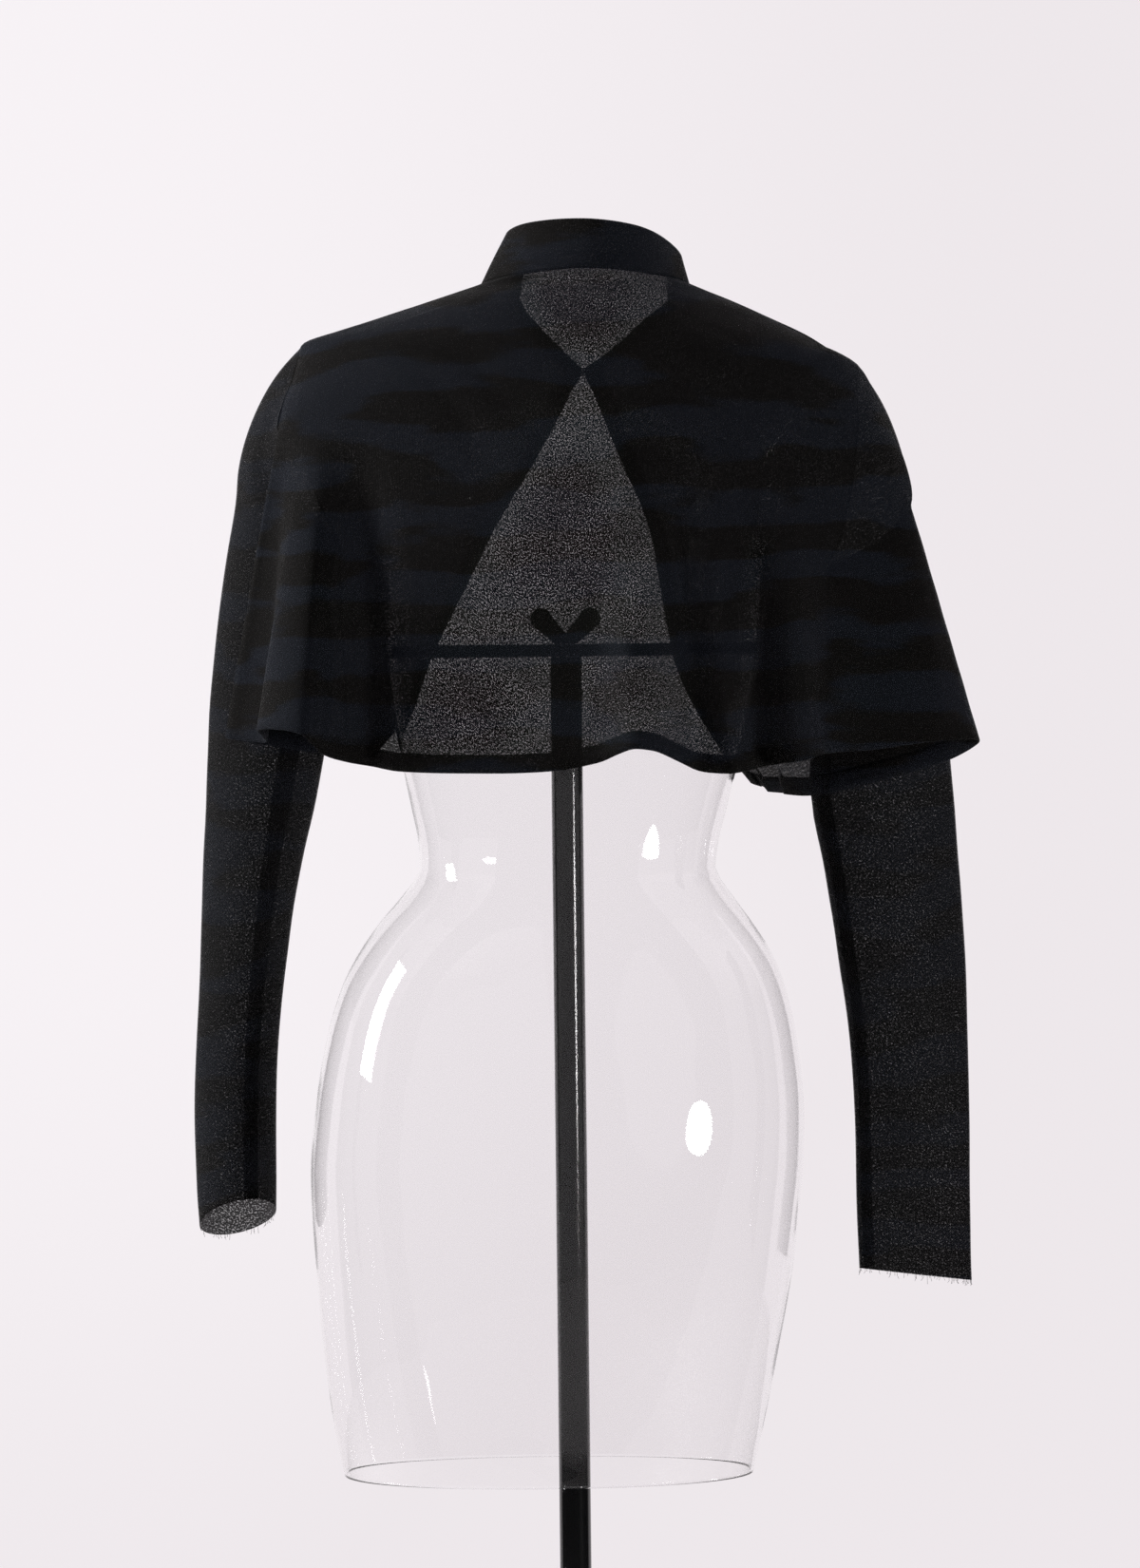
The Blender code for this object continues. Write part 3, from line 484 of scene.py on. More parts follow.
@dataclass
class Cut:
    """The worn shape of each cut piece, as rows of points on its solid's middle surface."""

    form: FormShape = field(default_factory=FormShape)

    def armhole(self, side: Side, turn: float) -> Vector:
        """A point of the armhole: turn 0 at the shoulder tip, 0.25 at the back, 0.5 underneath."""
        points = [Vector(p) for p in ARMHOLES[side.value]]
        return smooth_curve(points, (turn % 1.0) * len(points), closed=True)

    def neck(self, at: float) -> Vector:
        """A point of the neckline seam, counted in points of its table."""
        return smooth_curve([Vector(p) for p in NECK_BASE], at)

    def side_edge(self, side: Side, back: bool, row: int) -> Vector:
        """Finds the end of a panel's row on its shoulder, armhole or side seam.

        Args:
            side: the side of the garment.
            back: whether the panel is the back.
            row: the row's number.

        Returns:
            The point on the seam.
        """
        if row <= TIP:
            neck = self.neck(LEFT_NECK if side is Side.LEFT else RIGHT_NECK)
            return neck.lerp(self.armhole(side, 0.0), row / SHOULDER_ROWS)
        if row <= UNDERARM:
            turn = 0.5 * (row - TIP) / ARM_ROWS
            return self.armhole(side, turn if back else -turn)
        down = (row - UNDERARM) / SIDE_ROWS
        return self.armhole(side, 0.5).lerp(Vector(SIDE_HEM[side.value]), down)

    def front_edge(self, side: Side, row: int) -> Vector:
        """The end of a front's row on its free edge."""
        table = FRONT_EDGES[side.value]
        part = [e for e in table if (e.row <= TIP if row <= TIP else e.row >= TIP)]
        keys = [e.row for e in part]
        return Vector([monotone(keys, [getattr(e, name) for e in part], row) for name in "xyz"])

    def yoke_row(self, start: Vector, end: Vector, middle_z: float | None,
                 shares: Sequence[float], reach: float, gap: float) -> list[Vector]:
        """Lays a row of cloth on the form between two seams.

        Args:
            start: the row's first point.
            end: the row's last point.
            middle_z: the row's height halfway, or None for a straight run of heights.
            shares: where along the row each point lies.
            reach: the share of the row over which each end comes down to the form.
            gap: how far the cloth's middle lies off the form.

        Returns:
            The row's points.
        """
        first, last = self.form.angle(start), self.form.angle(end)
        if middle_z is not None and last < first:
            last += 2 * math.pi
        if middle_z is None and first - last > math.pi:
            first -= 2 * math.pi
        bow = 0.0 if middle_z is None else middle_z - (start.z + end.z) / 2
        off_start = start - self.form.beside(first, start.z, gap)
        off_end = end - self.form.beside(last, end.z, gap)
        row = []
        for share in shares:
            z = start.z + (end.z - start.z) * share + bow * 4 * share * (1 - share)
            point = self.form.beside(first + (last - first) * share, z, gap)
            row.append(point + off_start * fade(share, reach) + off_end * fade(1 - share, reach))
        return row

    def panel(self, start: RowEnd, end: RowEnd, folds: Sequence[Fold], steps: int,
              middles: Sequence[float] | None, pulls: tuple[int, int], reach: float,
              gap: float) -> list[list[Vector]]:
        """Drapes a panel: the yoke that lies on the form, then the folds that hang from it.

        Args:
            start: gives the first point of each row.
            end: gives the last point of each row.
            folds: the panel's table of folds.
            steps: how many columns each fold takes.
            middles: the heights of the yoke rows' middles, or None.
            pulls: how many folds each hanging edge pulls on.
            reach: the share of a yoke row over which its ends leave the form.
            gap: how far the cloth's middle lies off the form.

        Returns:
            The rows of points, from the neckline to the hem.
        """
        middle = middles[RELEASE] if middles else None
        even = [k / RELEASE_READINGS for k in range(RELEASE_READINGS + 1)]
        release = self.yoke_row(start(RELEASE), end(RELEASE), middle, even, reach, gap)
        rising = release[-1].x > release[0].x
        marks = []
        for fold in folds:
            passed = [k for k, p in enumerate(release) if (p.x <= fold.start) == rising]
            marks.append(max(passed, default=0) / RELEASE_READINGS)
        marks[0], marks[-1] = 0.0, 1.0
        shares = [a + (b - a) * k / steps for a, b in zip(marks, marks[1:]) for k in range(steps)]
        shares.append(1.0)
        rows = []
        for i in range(RELEASE + 1):
            middle = middles[i] if middles else None
            rows.append(self.yoke_row(start(i), end(i), middle, shares, reach, gap))
        hem_points = [Vector((fold.x, fold.y, fold.z)) for fold in folds]
        hem = [smooth_curve(hem_points, j / steps) for j in range(len(shares))]
        last = len(shares) - 1
        for i in range(RELEASE + 1, HEM + 1):
            down = (i - RELEASE) / (HEM - RELEASE)
            row = [top.lerp(bottom, down) for top, bottom in zip(rows[RELEASE], hem)]
            pull_start, pull_end = start(i) - row[0], end(i) - row[-1]
            for j in range(last + 1):
                near_start = max(0.0, 1 - j / (pulls[0] * steps))
                near_end = max(0.0, 1 - (last - j) / (pulls[1] * steps))
                row[j] = row[j] + pull_start * near_start + pull_end * near_end
            rows.append(row)
        return [[self.form.clear(point, gap) for point in row] for row in rows]

    def seated(self, rows: list[list[Vector]], first: int, last: int) -> list[list[Vector]]:
        """The rows, with the top one laid on the neckline seam."""
        count = len(rows[0]) - 1
        rows[0] = [self.neck(first + (last - first) * j / count) for j in range(count + 1)]
        return rows

    def back(self) -> list[list[Vector]]:
        """The back's rows, from the neckline to the hem, left to right."""
        rows = self.panel(
            lambda row: self.side_edge(Side.LEFT, True, row),
            lambda row: self.side_edge(Side.RIGHT, True, row),
            BACK_FOLDS, BACK_STEPS, BACK_MIDDLE, (1, 3), BACK_REACH, BACK_GAP,
        )
        return self.seated(rows, LEFT_NECK, RIGHT_NECK)

    def front(self, side: Side) -> list[list[Vector]]:
        """A front's rows, from the neckline to the hem, side seam to free edge."""
        folds = FRONT_FOLDS[side.value]
        rows = self.panel(
            lambda row: self.side_edge(side, False, row),
            lambda row: self.front_edge(side, row),
            folds, FRONT_STEPS, None, (2, len(folds) - 1), FRONT_REACH, FRONT_GAP,
        )
        ends = (LEFT_NECK, 0) if side is Side.LEFT else (RIGHT_NECK, len(NECK_BASE) - 1)
        return self.seated(rows, *ends)

    def section(self, row: Section) -> list[Vector]:
        """The points round one section of a sleeve, from its outer end by way of its back."""
        around = 2 * ARM_ROWS
        outer = Vector((row.out_x, row.middle_y, row.out_z))
        inner = Vector((row.in_x, row.middle_y, row.in_z))
        centre = (outer + inner) / 2
        ring = []
        for k in range(around):
            angle = 2 * math.pi * k / around
            point = centre + (outer - centre) * math.cos(angle)
            point.y -= row.half_depth * math.sin(angle)
            point.z += row.dip * math.sin(angle)
            ring.append(point)
        return ring

    def sleeve(self, side: Side) -> list[list[Vector]]:
        """The rings of a sleeve, from the armhole seam over the cap to the cuff."""
        around = 2 * ARM_ROWS
        aside, up = CAP_OUTWARD
        outward = Vector((-aside if side is Side.LEFT else aside, 0.0, up))
        seam = [self.armhole(side, k / around) for k in range(around)]
        first = self.section(SLEEVES[side.value][0])
        rings = [seam]
        for i in range(1, CAP_RINGS + 1):
            down = i / (CAP_RINGS + 1)
            swell = 4 * down * (1 - down)
            ring = []
            for k in range(around):
                angle = 360 * k / around
                lift = swell * CAP_BULGE[side.value] * (0.5 + 0.5 * math.cos(math.radians(angle)))
                ahead = 0.0
                if angle <= CAP_FORWARD_END:
                    lean = (angle - CAP_FORWARD_START) * CAP_FORWARD_RATE
                    ahead = swell * CAP_FORWARD * max(0.0, math.sin(math.radians(lean)))
                ring.append(seam[k].lerp(first[k], down) + outward * lift + Vector((0.0, ahead, 0.0)))
            rings.append(ring)
        return rings + [self.section(row) for row in SLEEVES[side.value]]

    def collar(self) -> list[list[Vector]]:
        """The collar's rows, from the neckline seam to its top edge."""
        top_points = [Vector(p) for p in COLLAR_TOP]
        places = [(len(NECK_BASE) - 1) * j / COLLAR_COLUMNS for j in range(COLLAR_COLUMNS + 1)]
        return [
            [self.neck(at).lerp(smooth_curve(top_points, at), i / COLLAR_ROWS) for at in places]
            for i in range(COLLAR_ROWS + 1)
        ]


class Seam(Enum):
    """The edges of a sheet that can be sewn to another."""

    TOP = "top"
    START = "start"
    END = "end"


# The creases pressed into each piece
BACK_CREASES = (
    Crease(-172, 96, -62, 152, 9, 1.7), Crease(-176, 128, -96, 205, 8, 1.3),
    Crease(168, 104, 74, 168, 9, 1.6), Crease(182, 150, 120, 232, 8, 1.2),
    Crease(-84, 62, 52, 74, 11, 0.8), Crease(-28, 176, -44, 330, 7, 1.3),
    Crease(52, 150, 96, 322, 8, -1.4), Crease(-104, 176, -158, 318, 7, 1.2),
    Crease(14, 200, 20, 342, 6, 1.0), Crease(128, 190, 188, 330, 7, 1.2),
    Crease(-146, 52, -118, 116, 8, 1.0), Crease(150, 58, 122, 118, 8, 0.9),
)
FRONT_CREASES = (
    Crease(22, 150, 96, 176, 8, 1.4), Crease(26, 190, 84, 262, 7, 1.2),
    Crease(64, 120, 150, 150, 9, -1.1), Crease(96, 208, 74, 330, 7, 1.3),
    Crease(138, 190, 160, 300, 6, -1.0), Crease(40, 70, 110, 60, 10, 0.8),
)
SLEEVE_CREASES = {
    Side.LEFT: (
        Crease(86, 118, 34, 166, 7, 1.9), Crease(92, 160, 30, 236, 6, 1.6),
        Crease(20, 232, 76, 262, 6, 1.7), Crease(82, 262, 22, 306, 5, 2.0),
        Crease(16, 300, 70, 330, 6, 1.6), Crease(78, 344, 26, 396, 5, 1.4),
        Crease(14, 408, 60, 446, 6, 1.3), Crease(60, 470, 18, 520, 5, 1.2),
        Crease(150, 150, 190, 214, 7, 1.7), Crease(184, 250, 132, 292, 6, 1.7),
        Crease(130, 330, 172, 380, 6, 1.5), Crease(160, 430, 120, 480, 6, 1.3),
    ),
    Side.RIGHT: (
        Crease(84, 112, 30, 168, 7, 1.7), Crease(88, 176, 36, 222, 6, 1.5),
        Crease(18, 214, 70, 258, 6, 1.8), Crease(76, 276, 20, 300, 5, 1.9),
        Crease(14, 318, 66, 366, 6, 1.4), Crease(70, 388, 24, 420, 5, 1.5),
        Crease(18, 452, 58, 500, 6, 1.2), Crease(140, 140, 180, 206, 7, 1.6),
        Crease(170, 236, 124, 286, 6, 1.7), Crease(122, 320, 158, 372, 6, 1.4),
        Crease(150, 420, 116, 470, 6, 1.2),
    ),
}

# Where the underarm seam's allowance lies round each sleeve, as a share of a turn
ALLOWANCE_TURN = {Side.LEFT: 0.29, Side.RIGHT: 0.39}


def spread_weights(count: int, steps: int, closed: bool) -> np.ndarray:
    """Works out the weights that read a smooth curve through evenly counted points.

    Args:
        count: how many points the curve passes.
        steps: how many places are read from each point to the next.
        closed: whether the curve runs on from the last point to the first.

    Returns:
        A matrix that turns the points into the places.
    """
    places = count * steps if closed else (count - 1) * steps + 1
    weights = np.zeros((places, count))
    for place in range(places):
        i, t = divmod(place, steps)
        t /= steps
        if not closed and i == count - 1:
            i, t = count - 2, 1.0
        parts = (
            0.5 * (-t + 2 * t * t - t ** 3),
            0.5 * (2 - 5 * t * t + 3 * t ** 3),
            0.5 * (t + 4 * t * t - 3 * t ** 3),
            0.5 * (t ** 3 - t * t),
        )
        for k, part in zip((-1, 0, 1, 2), parts):
            j = i + k
            if closed:
                weights[place, j % count] += part
            elif j < 0:
                weights[place, 0] += 2 * part
                weights[place, 1] -= part
            elif j >= count:
                weights[place, count - 1] += 2 * part
                weights[place, count - 2] -= part
            else:
                weights[place, j] += part
    return weights


@dataclass
class Surface:
    """A fine grid of points on a piece of cloth, with its place on the flat cut.

    Attributes:
        points: the points in millimetres, rows by columns by three.
        closed: whether each row is a ring.
        start: the share of each row at which the flat cut's u is zero.
        seams: the edges that are sewn to another piece.
    """

    points: np.ndarray
    closed: bool = False
    start: float = 0.0
    seams: frozenset = frozenset()

    @classmethod
    def through(cls, rows: Sequence[Sequence[Vector]], down: int, across: int, closed: bool,
                start: float, seams: Sequence[Seam]) -> "Surface":
        """Spreads coarse rows into a fine surface.

        Args:
            rows: the coarse rows.
            down: the steps from row to row.
            across: the steps from column to column.
            closed: whether each row is a ring.
            start: the share of each row at which u is zero.
            seams: the edges that are sewn to another piece.

        Returns:
            The fine surface.
        """
        coarse = np.array([[tuple(point) for point in row] for row in rows])
        rowwise = spread_weights(coarse.shape[0], down, False)
        columnwise = spread_weights(coarse.shape[1], across, closed)
        points = np.einsum("ri,ijk,cj->rck", rowwise, coarse, columnwise)
        return cls(points, closed, start, frozenset(seams))

    def slopes(self) -> tuple[np.ndarray, np.ndarray]:
        """The directions down the columns and along the rows."""
        down = np.gradient(self.points, axis=0)
        if self.closed:
            across = (np.roll(self.points, -1, axis=1) - np.roll(self.points, 1, axis=1)) / 2
        else:
            across = np.gradient(self.points, axis=1)
        return down, across

    def normals(self) -> np.ndarray:
        """The directions that point away from the wearer, one for each point."""
        down, across = self.slopes()
        normal = np.cross(down, across)
        normal /= np.maximum(np.linalg.norm(normal, axis=2, keepdims=True), 1e-9)
        middle = self.points.mean(axis=1, keepdims=True)
        if not self.closed:
            middle[:, :, :2] = FORM_MIDDLE
        away = np.sum(normal * (self.points - middle))
        return normal if away > 0 else -normal

    def looped(self) -> np.ndarray:
        """The points, with a ring's first column once more at its end."""
        return np.concatenate([self.points, self.points[:, :1]], axis=1) if self.closed else self.points

    def flat(self) -> tuple[np.ndarray, np.ndarray]:
        """The places u and v on the flat cut, in millimetres, with one more column on a ring."""
        ring = self.looped()
        steps = np.linalg.norm(np.diff(ring, axis=1), axis=2)
        u = np.concatenate([np.zeros((len(ring), 1)), np.cumsum(steps, axis=1)], axis=1)
        zero = round(self.start * (ring.shape[1] - 1))
        u = u - u[:, zero:zero + 1]
        steps = np.linalg.norm(np.diff(ring, axis=0), axis=2)
        v = np.concatenate([np.zeros((1, ring.shape[1])), np.cumsum(steps, axis=0)])
        return u, v + (ring[0, :, 2].max() - ring[0, :, 2])[None, :]

    def area(self) -> float:
        """The cloth's area in square metres."""
        ring = self.looped()
        a, b, c, d = ring[:-1, :-1], ring[:-1, 1:], ring[1:, 1:], ring[1:, :-1]
        halves = np.linalg.norm(np.cross(b - a, c - a), axis=2) + np.linalg.norm(
            np.cross(c - a, d - a), axis=2)
        return float(halves.sum() / 2 * MM * MM)

    def ease(self) -> np.ndarray:
        """How freely each point moves: not at all on a seam, fully beyond its reach."""
        u, v = self.flat()
        if self.closed:
            u, v = u[:, :-1], v[:, :-1]
        free = np.ones(u.shape)
        for seam, distance in (
            (Seam.TOP, v - v[:1]),
            (Seam.START, u - u[:, :1]),
            (Seam.END, u[:, -1:] - u),
        ):
            if seam in self.seams:
                share = np.clip(distance / SEAM_REACH, 0.0, 1.0)
                free *= share * share * (3 - 2 * share)
        return free

    def press(self, creases: Sequence[Crease]) -> "Surface":
        """Presses soft creases into the cloth.

        Args:
            creases: the creases, placed on the flat cut.

        Returns:
            The creased surface.
        """
        u, v = self.flat()
        around = u[:, -1:]
        if self.closed:
            u, v = u[:, :-1], v[:, :-1]
        depth = np.zeros(u.shape)
        narrow, taper = CREASE_TAPER
        for crease in creases:
            run = np.array([crease.u1 - crease.u0, crease.v1 - crease.v0])
            length = np.hypot(*run)
            for turn in (-1, 0, 1) if self.closed else (0,):
                across, down = u + turn * around - crease.u0, v - crease.v0
                share = np.clip((across * run[0] + down * run[1]) / length ** 2, 0.0, 1.0)
                ahead = (across * run[0] + down * run[1]) / length - share * length
                aside = (across * run[1] - down * run[0]) / length
                aside = aside - CREASE_BOW * length * np.sin(math.pi * share)
                width = crease.width * (narrow + taper * share)
                bell = np.exp(-((np.hypot(aside, ahead) / width) ** 2))
                rise = np.sin(math.pi * np.clip(share, *CREASE_ENDS)) ** CREASE_END_POWER
                depth += crease.depth * bell * rise
        return self.at(self.points - self.normals() * (depth * self.ease())[:, :, None])

    def ripple(self, height: float) -> "Surface":
        """The surface with the faint unevenness of limp knit, up to a height in millimetres."""
        u, v = self.flat()
        if self.closed:
            turn = np.linspace(0, 2 * math.pi, self.points.shape[1], endpoint=False)[None, :]
            v = v[:, :-1] + np.cos(turn) * RIPPLE_RADIUS
            u = np.sin(turn) * RIPPLE_RADIUS + 0 * v
        (first, second, third), (a, b, c) = RIPPLE_LENGTHS, RIPPLE_BENDS
        wave = (
            np.sin(u / first + 1.3 * np.sin(v / a))
            + 0.7 * np.sin(v / second + 1.7 * np.sin(u / b) + 1.1)
            + 0.5 * np.sin((u + v) / third + 2.0 * np.sin(v / c))
        )
        lift = height * wave / RIPPLE_PEAK * self.ease()
        return self.at(self.points + self.normals() * lift[:, :, None])

    def at(self, points: np.ndarray) -> "Surface":
        """The same sheet with its points elsewhere."""
        return Surface(points, self.closed, self.start, self.seams)

    def moved(self, distance: float) -> "Surface":
        """The surface, moved out along its normals by a distance in millimetres."""
        return self.at(self.points + self.normals() * distance)

    def strip(self, first: int, last: int, inset: float) -> "Surface":
        """Takes a strip of columns, moved to the inside.

        Args:
            first: the first column.
            last: the last column.
            inset: how far inside the sheet the strip lies.

        Returns:
            The strip.
        """
        return Surface(self.moved(-inset).points[:, first:last + 1])

    def band(self, line_axis: int, reaches: Sequence[float], inset: float, lip: float) -> "Surface":
        """Turns a strip of cloth up inside an edge.

        Args:
            line_axis: 0 for the hem, the last row, and 1 for the free edge, the last column.
            reaches: how far from the edge each line of the turned strip lies.
            inset: how far inside the panel the strip lies.
            lip: how far the turned edge stands below the panel's own.

        Returns:
            The strip, starting on the panel's edge.
        """
        points, normals = self.points, self.normals()
        if line_axis == 0:
            points, normals = points.transpose(1, 0, 2), normals.transpose(1, 0, 2)
        lines = []
        for line, normal in zip(points[:, ::-1], normals[:, ::-1]):
            steps = np.linalg.norm(np.diff(line, axis=0), axis=1)
            far = np.concatenate([[0.0], np.cumsum(steps)])
            outward = (line[0] - line[2]) / max(np.linalg.norm(line[0] - line[2]), 1e-9)
            strip = [line[0]]
            for ahead, behind in LIP_STEPS:
                strip.append(line[0] + outward * lip * ahead - normal[0] * inset * behind)
            for reach in reaches:
                place = [np.interp(reach, far, line[:, k]) for k in range(3)]
                lean = [np.interp(reach, far, normal[:, k]) for k in range(3)]
                strip.append(np.array(place) - np.array(lean) * inset)
            lines.append(strip)
        return Surface(np.array(lines).transpose(1, 0, 2))


class Bench:
    """Makes mesh objects out of bmesh operators and links them into the scene."""

    @staticmethod
    def made(name: str, bm: bmesh.types.BMesh, material: bpy.types.Material) -> bpy.types.Object:
        """Turns a bmesh, which is freed, into a smooth object of the scene."""
        mesh = bpy.data.meshes.new(name)
        bm.to_mesh(mesh)
        bm.free()
        mesh.materials.append(material)
        mesh.shade_smooth()
        made = bpy.data.objects.new(name, mesh)
        bpy.context.scene.collection.objects.link(made)
        return made

    @classmethod
    def keep(cls, name: str, bm: bmesh.types.BMesh, material: bpy.types.Material, slot: str,
             replaced: Sequence[str] = ()) -> bpy.types.Object:
        """Turns a bmesh into a piece that rides on the object's one body.

        Args:
            name: the piece's name.
            bm: its bmesh, which is freed.
            material: its material.
            slot: not used.
            replaced: the nodes that it stands for.

        Returns:
            The piece.
        """
        piece = cls.made(name, bm, material)
        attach(piece, "root")
        if replaced:
            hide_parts(*replaced)
        LOG.info("%s: %d faces", name, len(piece.data.polygons))
        return piece

    @staticmethod
    def grid(surface: Surface) -> bmesh.types.BMesh:
        """Makes a grid of faces through a surface's points, with the flat cut as its UV map.

        Args:
            surface: the fine surface.

        Returns:
            The grid, closed along its seam where the rows are rings.
        """
        points = surface.looped()
        u, v = surface.flat()
        rows, columns = points.shape[:2]
        bm = bmesh.new()
        bmesh.ops.create_grid(bm, x_segments=columns - 1, y_segments=rows - 1, size=0.5)
        layer = bm.loops.layers.uv.new("UVMap")
        places = {}
        for vert in bm.verts:
            column = round((vert.co.x + 0.5) * (columns - 1))
            row = round((0.5 - vert.co.y) * (rows - 1))
            places[vert] = (row, column)
        for face in bm.faces:
            for loop in face.loops:
                place = places[loop.vert]
                loop[layer].uv = (u[place] * MM, v[place] * MM)
        for vert, place in places.items():
            vert.co = Vector(points[place]) * MM
        if surface.closed:
            bmesh.ops.remove_doubles(bm, verts=bm.verts, dist=1e-7)
        return bm

    @classmethod
    def joined(cls, surfaces: Sequence[Surface]) -> bmesh.types.BMesh:
        """The grids of some surfaces as one bmesh."""
        whole = bmesh.new()
        for surface in surfaces:
            part = cls.grid(surface)
            mesh = bpy.data.meshes.new("part")
            part.to_mesh(mesh)
            part.free()
            whole.from_mesh(mesh)
            bpy.data.meshes.remove(mesh)
        return whole

    @staticmethod
    def wall(piece: bpy.types.Object, thickness: float, offset: float = 0.0) -> None:
        """Gives a surface its thickness, in millimetres, to both sides or, at an offset of -1, inside."""
        modifier = piece.modifiers.new("wall", "SOLIDIFY")
        modifier.thickness = thickness * MM
        modifier.offset = offset

    @classmethod
    def sheet(cls, name: str, surface: Surface, wall: float, material: bpy.types.Material,
              replaced: Sequence[str] = ()) -> bpy.types.Object:
        """A piece of knit through a surface.

        Args:
            name: the piece's name.
            surface: its middle surface.
            wall: its thickness in millimetres.
            material: its material.
            replaced: the nodes that it stands for.

        Returns:
            The piece.
        """
        piece = cls.keep(name, cls.grid(surface), material, "knit", replaced)
        cls.wall(piece, wall)
        return piece

    @staticmethod
    def tube(path: np.ndarray, radius: float, sides: int, closed: bool) -> Surface:
        """Works out a thin round tube along a path.

        Args:
            path: the path's points in millimetres.
            radius: the tube's radius.
            sides: how many points go round it.
            closed: whether the path returns to its start.

        Returns:
            The tube's surface, a ring for each point of the path.
        """
        ahead = np.roll(path, -1, axis=0) - np.roll(path, 1, axis=0)
        if not closed:
            ahead[0], ahead[-1] = path[1] - path[0], path[-1] - path[-2]
        side = None
        rings = []
        for point, run in zip(path, ahead):
            run = run / np.linalg.norm(run)
            if side is None:
                side = np.cross(run, OFF_PATH)
            side = side - run * (side @ run)
            side = side / np.linalg.norm(side)
            other = np.cross(run, side)
            turns = [2 * math.pi * k / sides for k in range(sides)]
            rings.append([point + radius * (side * math.cos(t) + other * math.sin(t)) for t in turns])
        if closed:
            rings.append(rings[0])
        return Surface(np.array(rings), closed=True)

    @staticmethod
    def spun(profile: Sequence[tuple[float, float]], segments: int) -> bmesh.types.BMesh:
        """Spins a profile of radius and height, in millimetres, round the upright axis.

        Args:
            profile: the points from the bottom of the axis to its top.
            segments: how many steps the turn takes.

        Returns:
            The closed solid.
        """
        bm = bmesh.new()
        verts = [bm.verts.new((radius * MM, 0.0, z * MM)) for radius, z in profile]
        edges = [bm.edges.new(pair) for pair in zip(verts, verts[1:])]
        bmesh.ops.spin(
            bm, geom=verts + edges, cent=(0, 0, 0), axis=(0, 0, 1), angle=2 * math.pi,
            steps=segments, use_merge=True,
        )
        bmesh.ops.remove_doubles(bm, verts=bm.verts, dist=1e-6)
        bmesh.ops.recalc_face_normals(bm, faces=bm.faces)
        return bm


def shader_operator(operation: str, swapped: bool = False) -> Callable:
    """Makes a method of Value that adds a maths node.

    Args:
        operation: the node's operation.
        swapped: whether the other value comes first.

    Returns:
        The method.
    """
    def method(value: "Value", other: "Value | float") -> "Value":
        """The result of the operation on both values."""
        pair = (other, value) if swapped else (value, other)
        return value.sheet.maths(operation, *pair)

    return method


class Value:
    """A shader value, so that shader maths reads as plain maths."""

    __add__ = shader_operator("ADD")
    __radd__ = shader_operator("ADD", swapped=True)
    __sub__ = shader_operator("SUBTRACT")
    __rsub__ = shader_operator("SUBTRACT", swapped=True)
    __mul__ = shader_operator("MULTIPLY")

    def __init__(self, sheet: "ShaderSheet", socket: bpy.types.NodeSocket) -> None:
        """Wraps one output socket of a sheet's node."""
        self.sheet = sheet
        self.socket = socket

    def sine(self) -> "Value":
        """The sine."""
        return self.sheet.maths("SINE", self)

    def step(self, low: float, high: float) -> "Value":
        """A soft step from 0 at one value to 1 at another."""
        return self.sheet.node(
            "ShaderNodeMapRange", {"interpolation_type": "SMOOTHSTEP"},
            {"Value": self, "From Min": low, "From Max": high}, 0,
        )


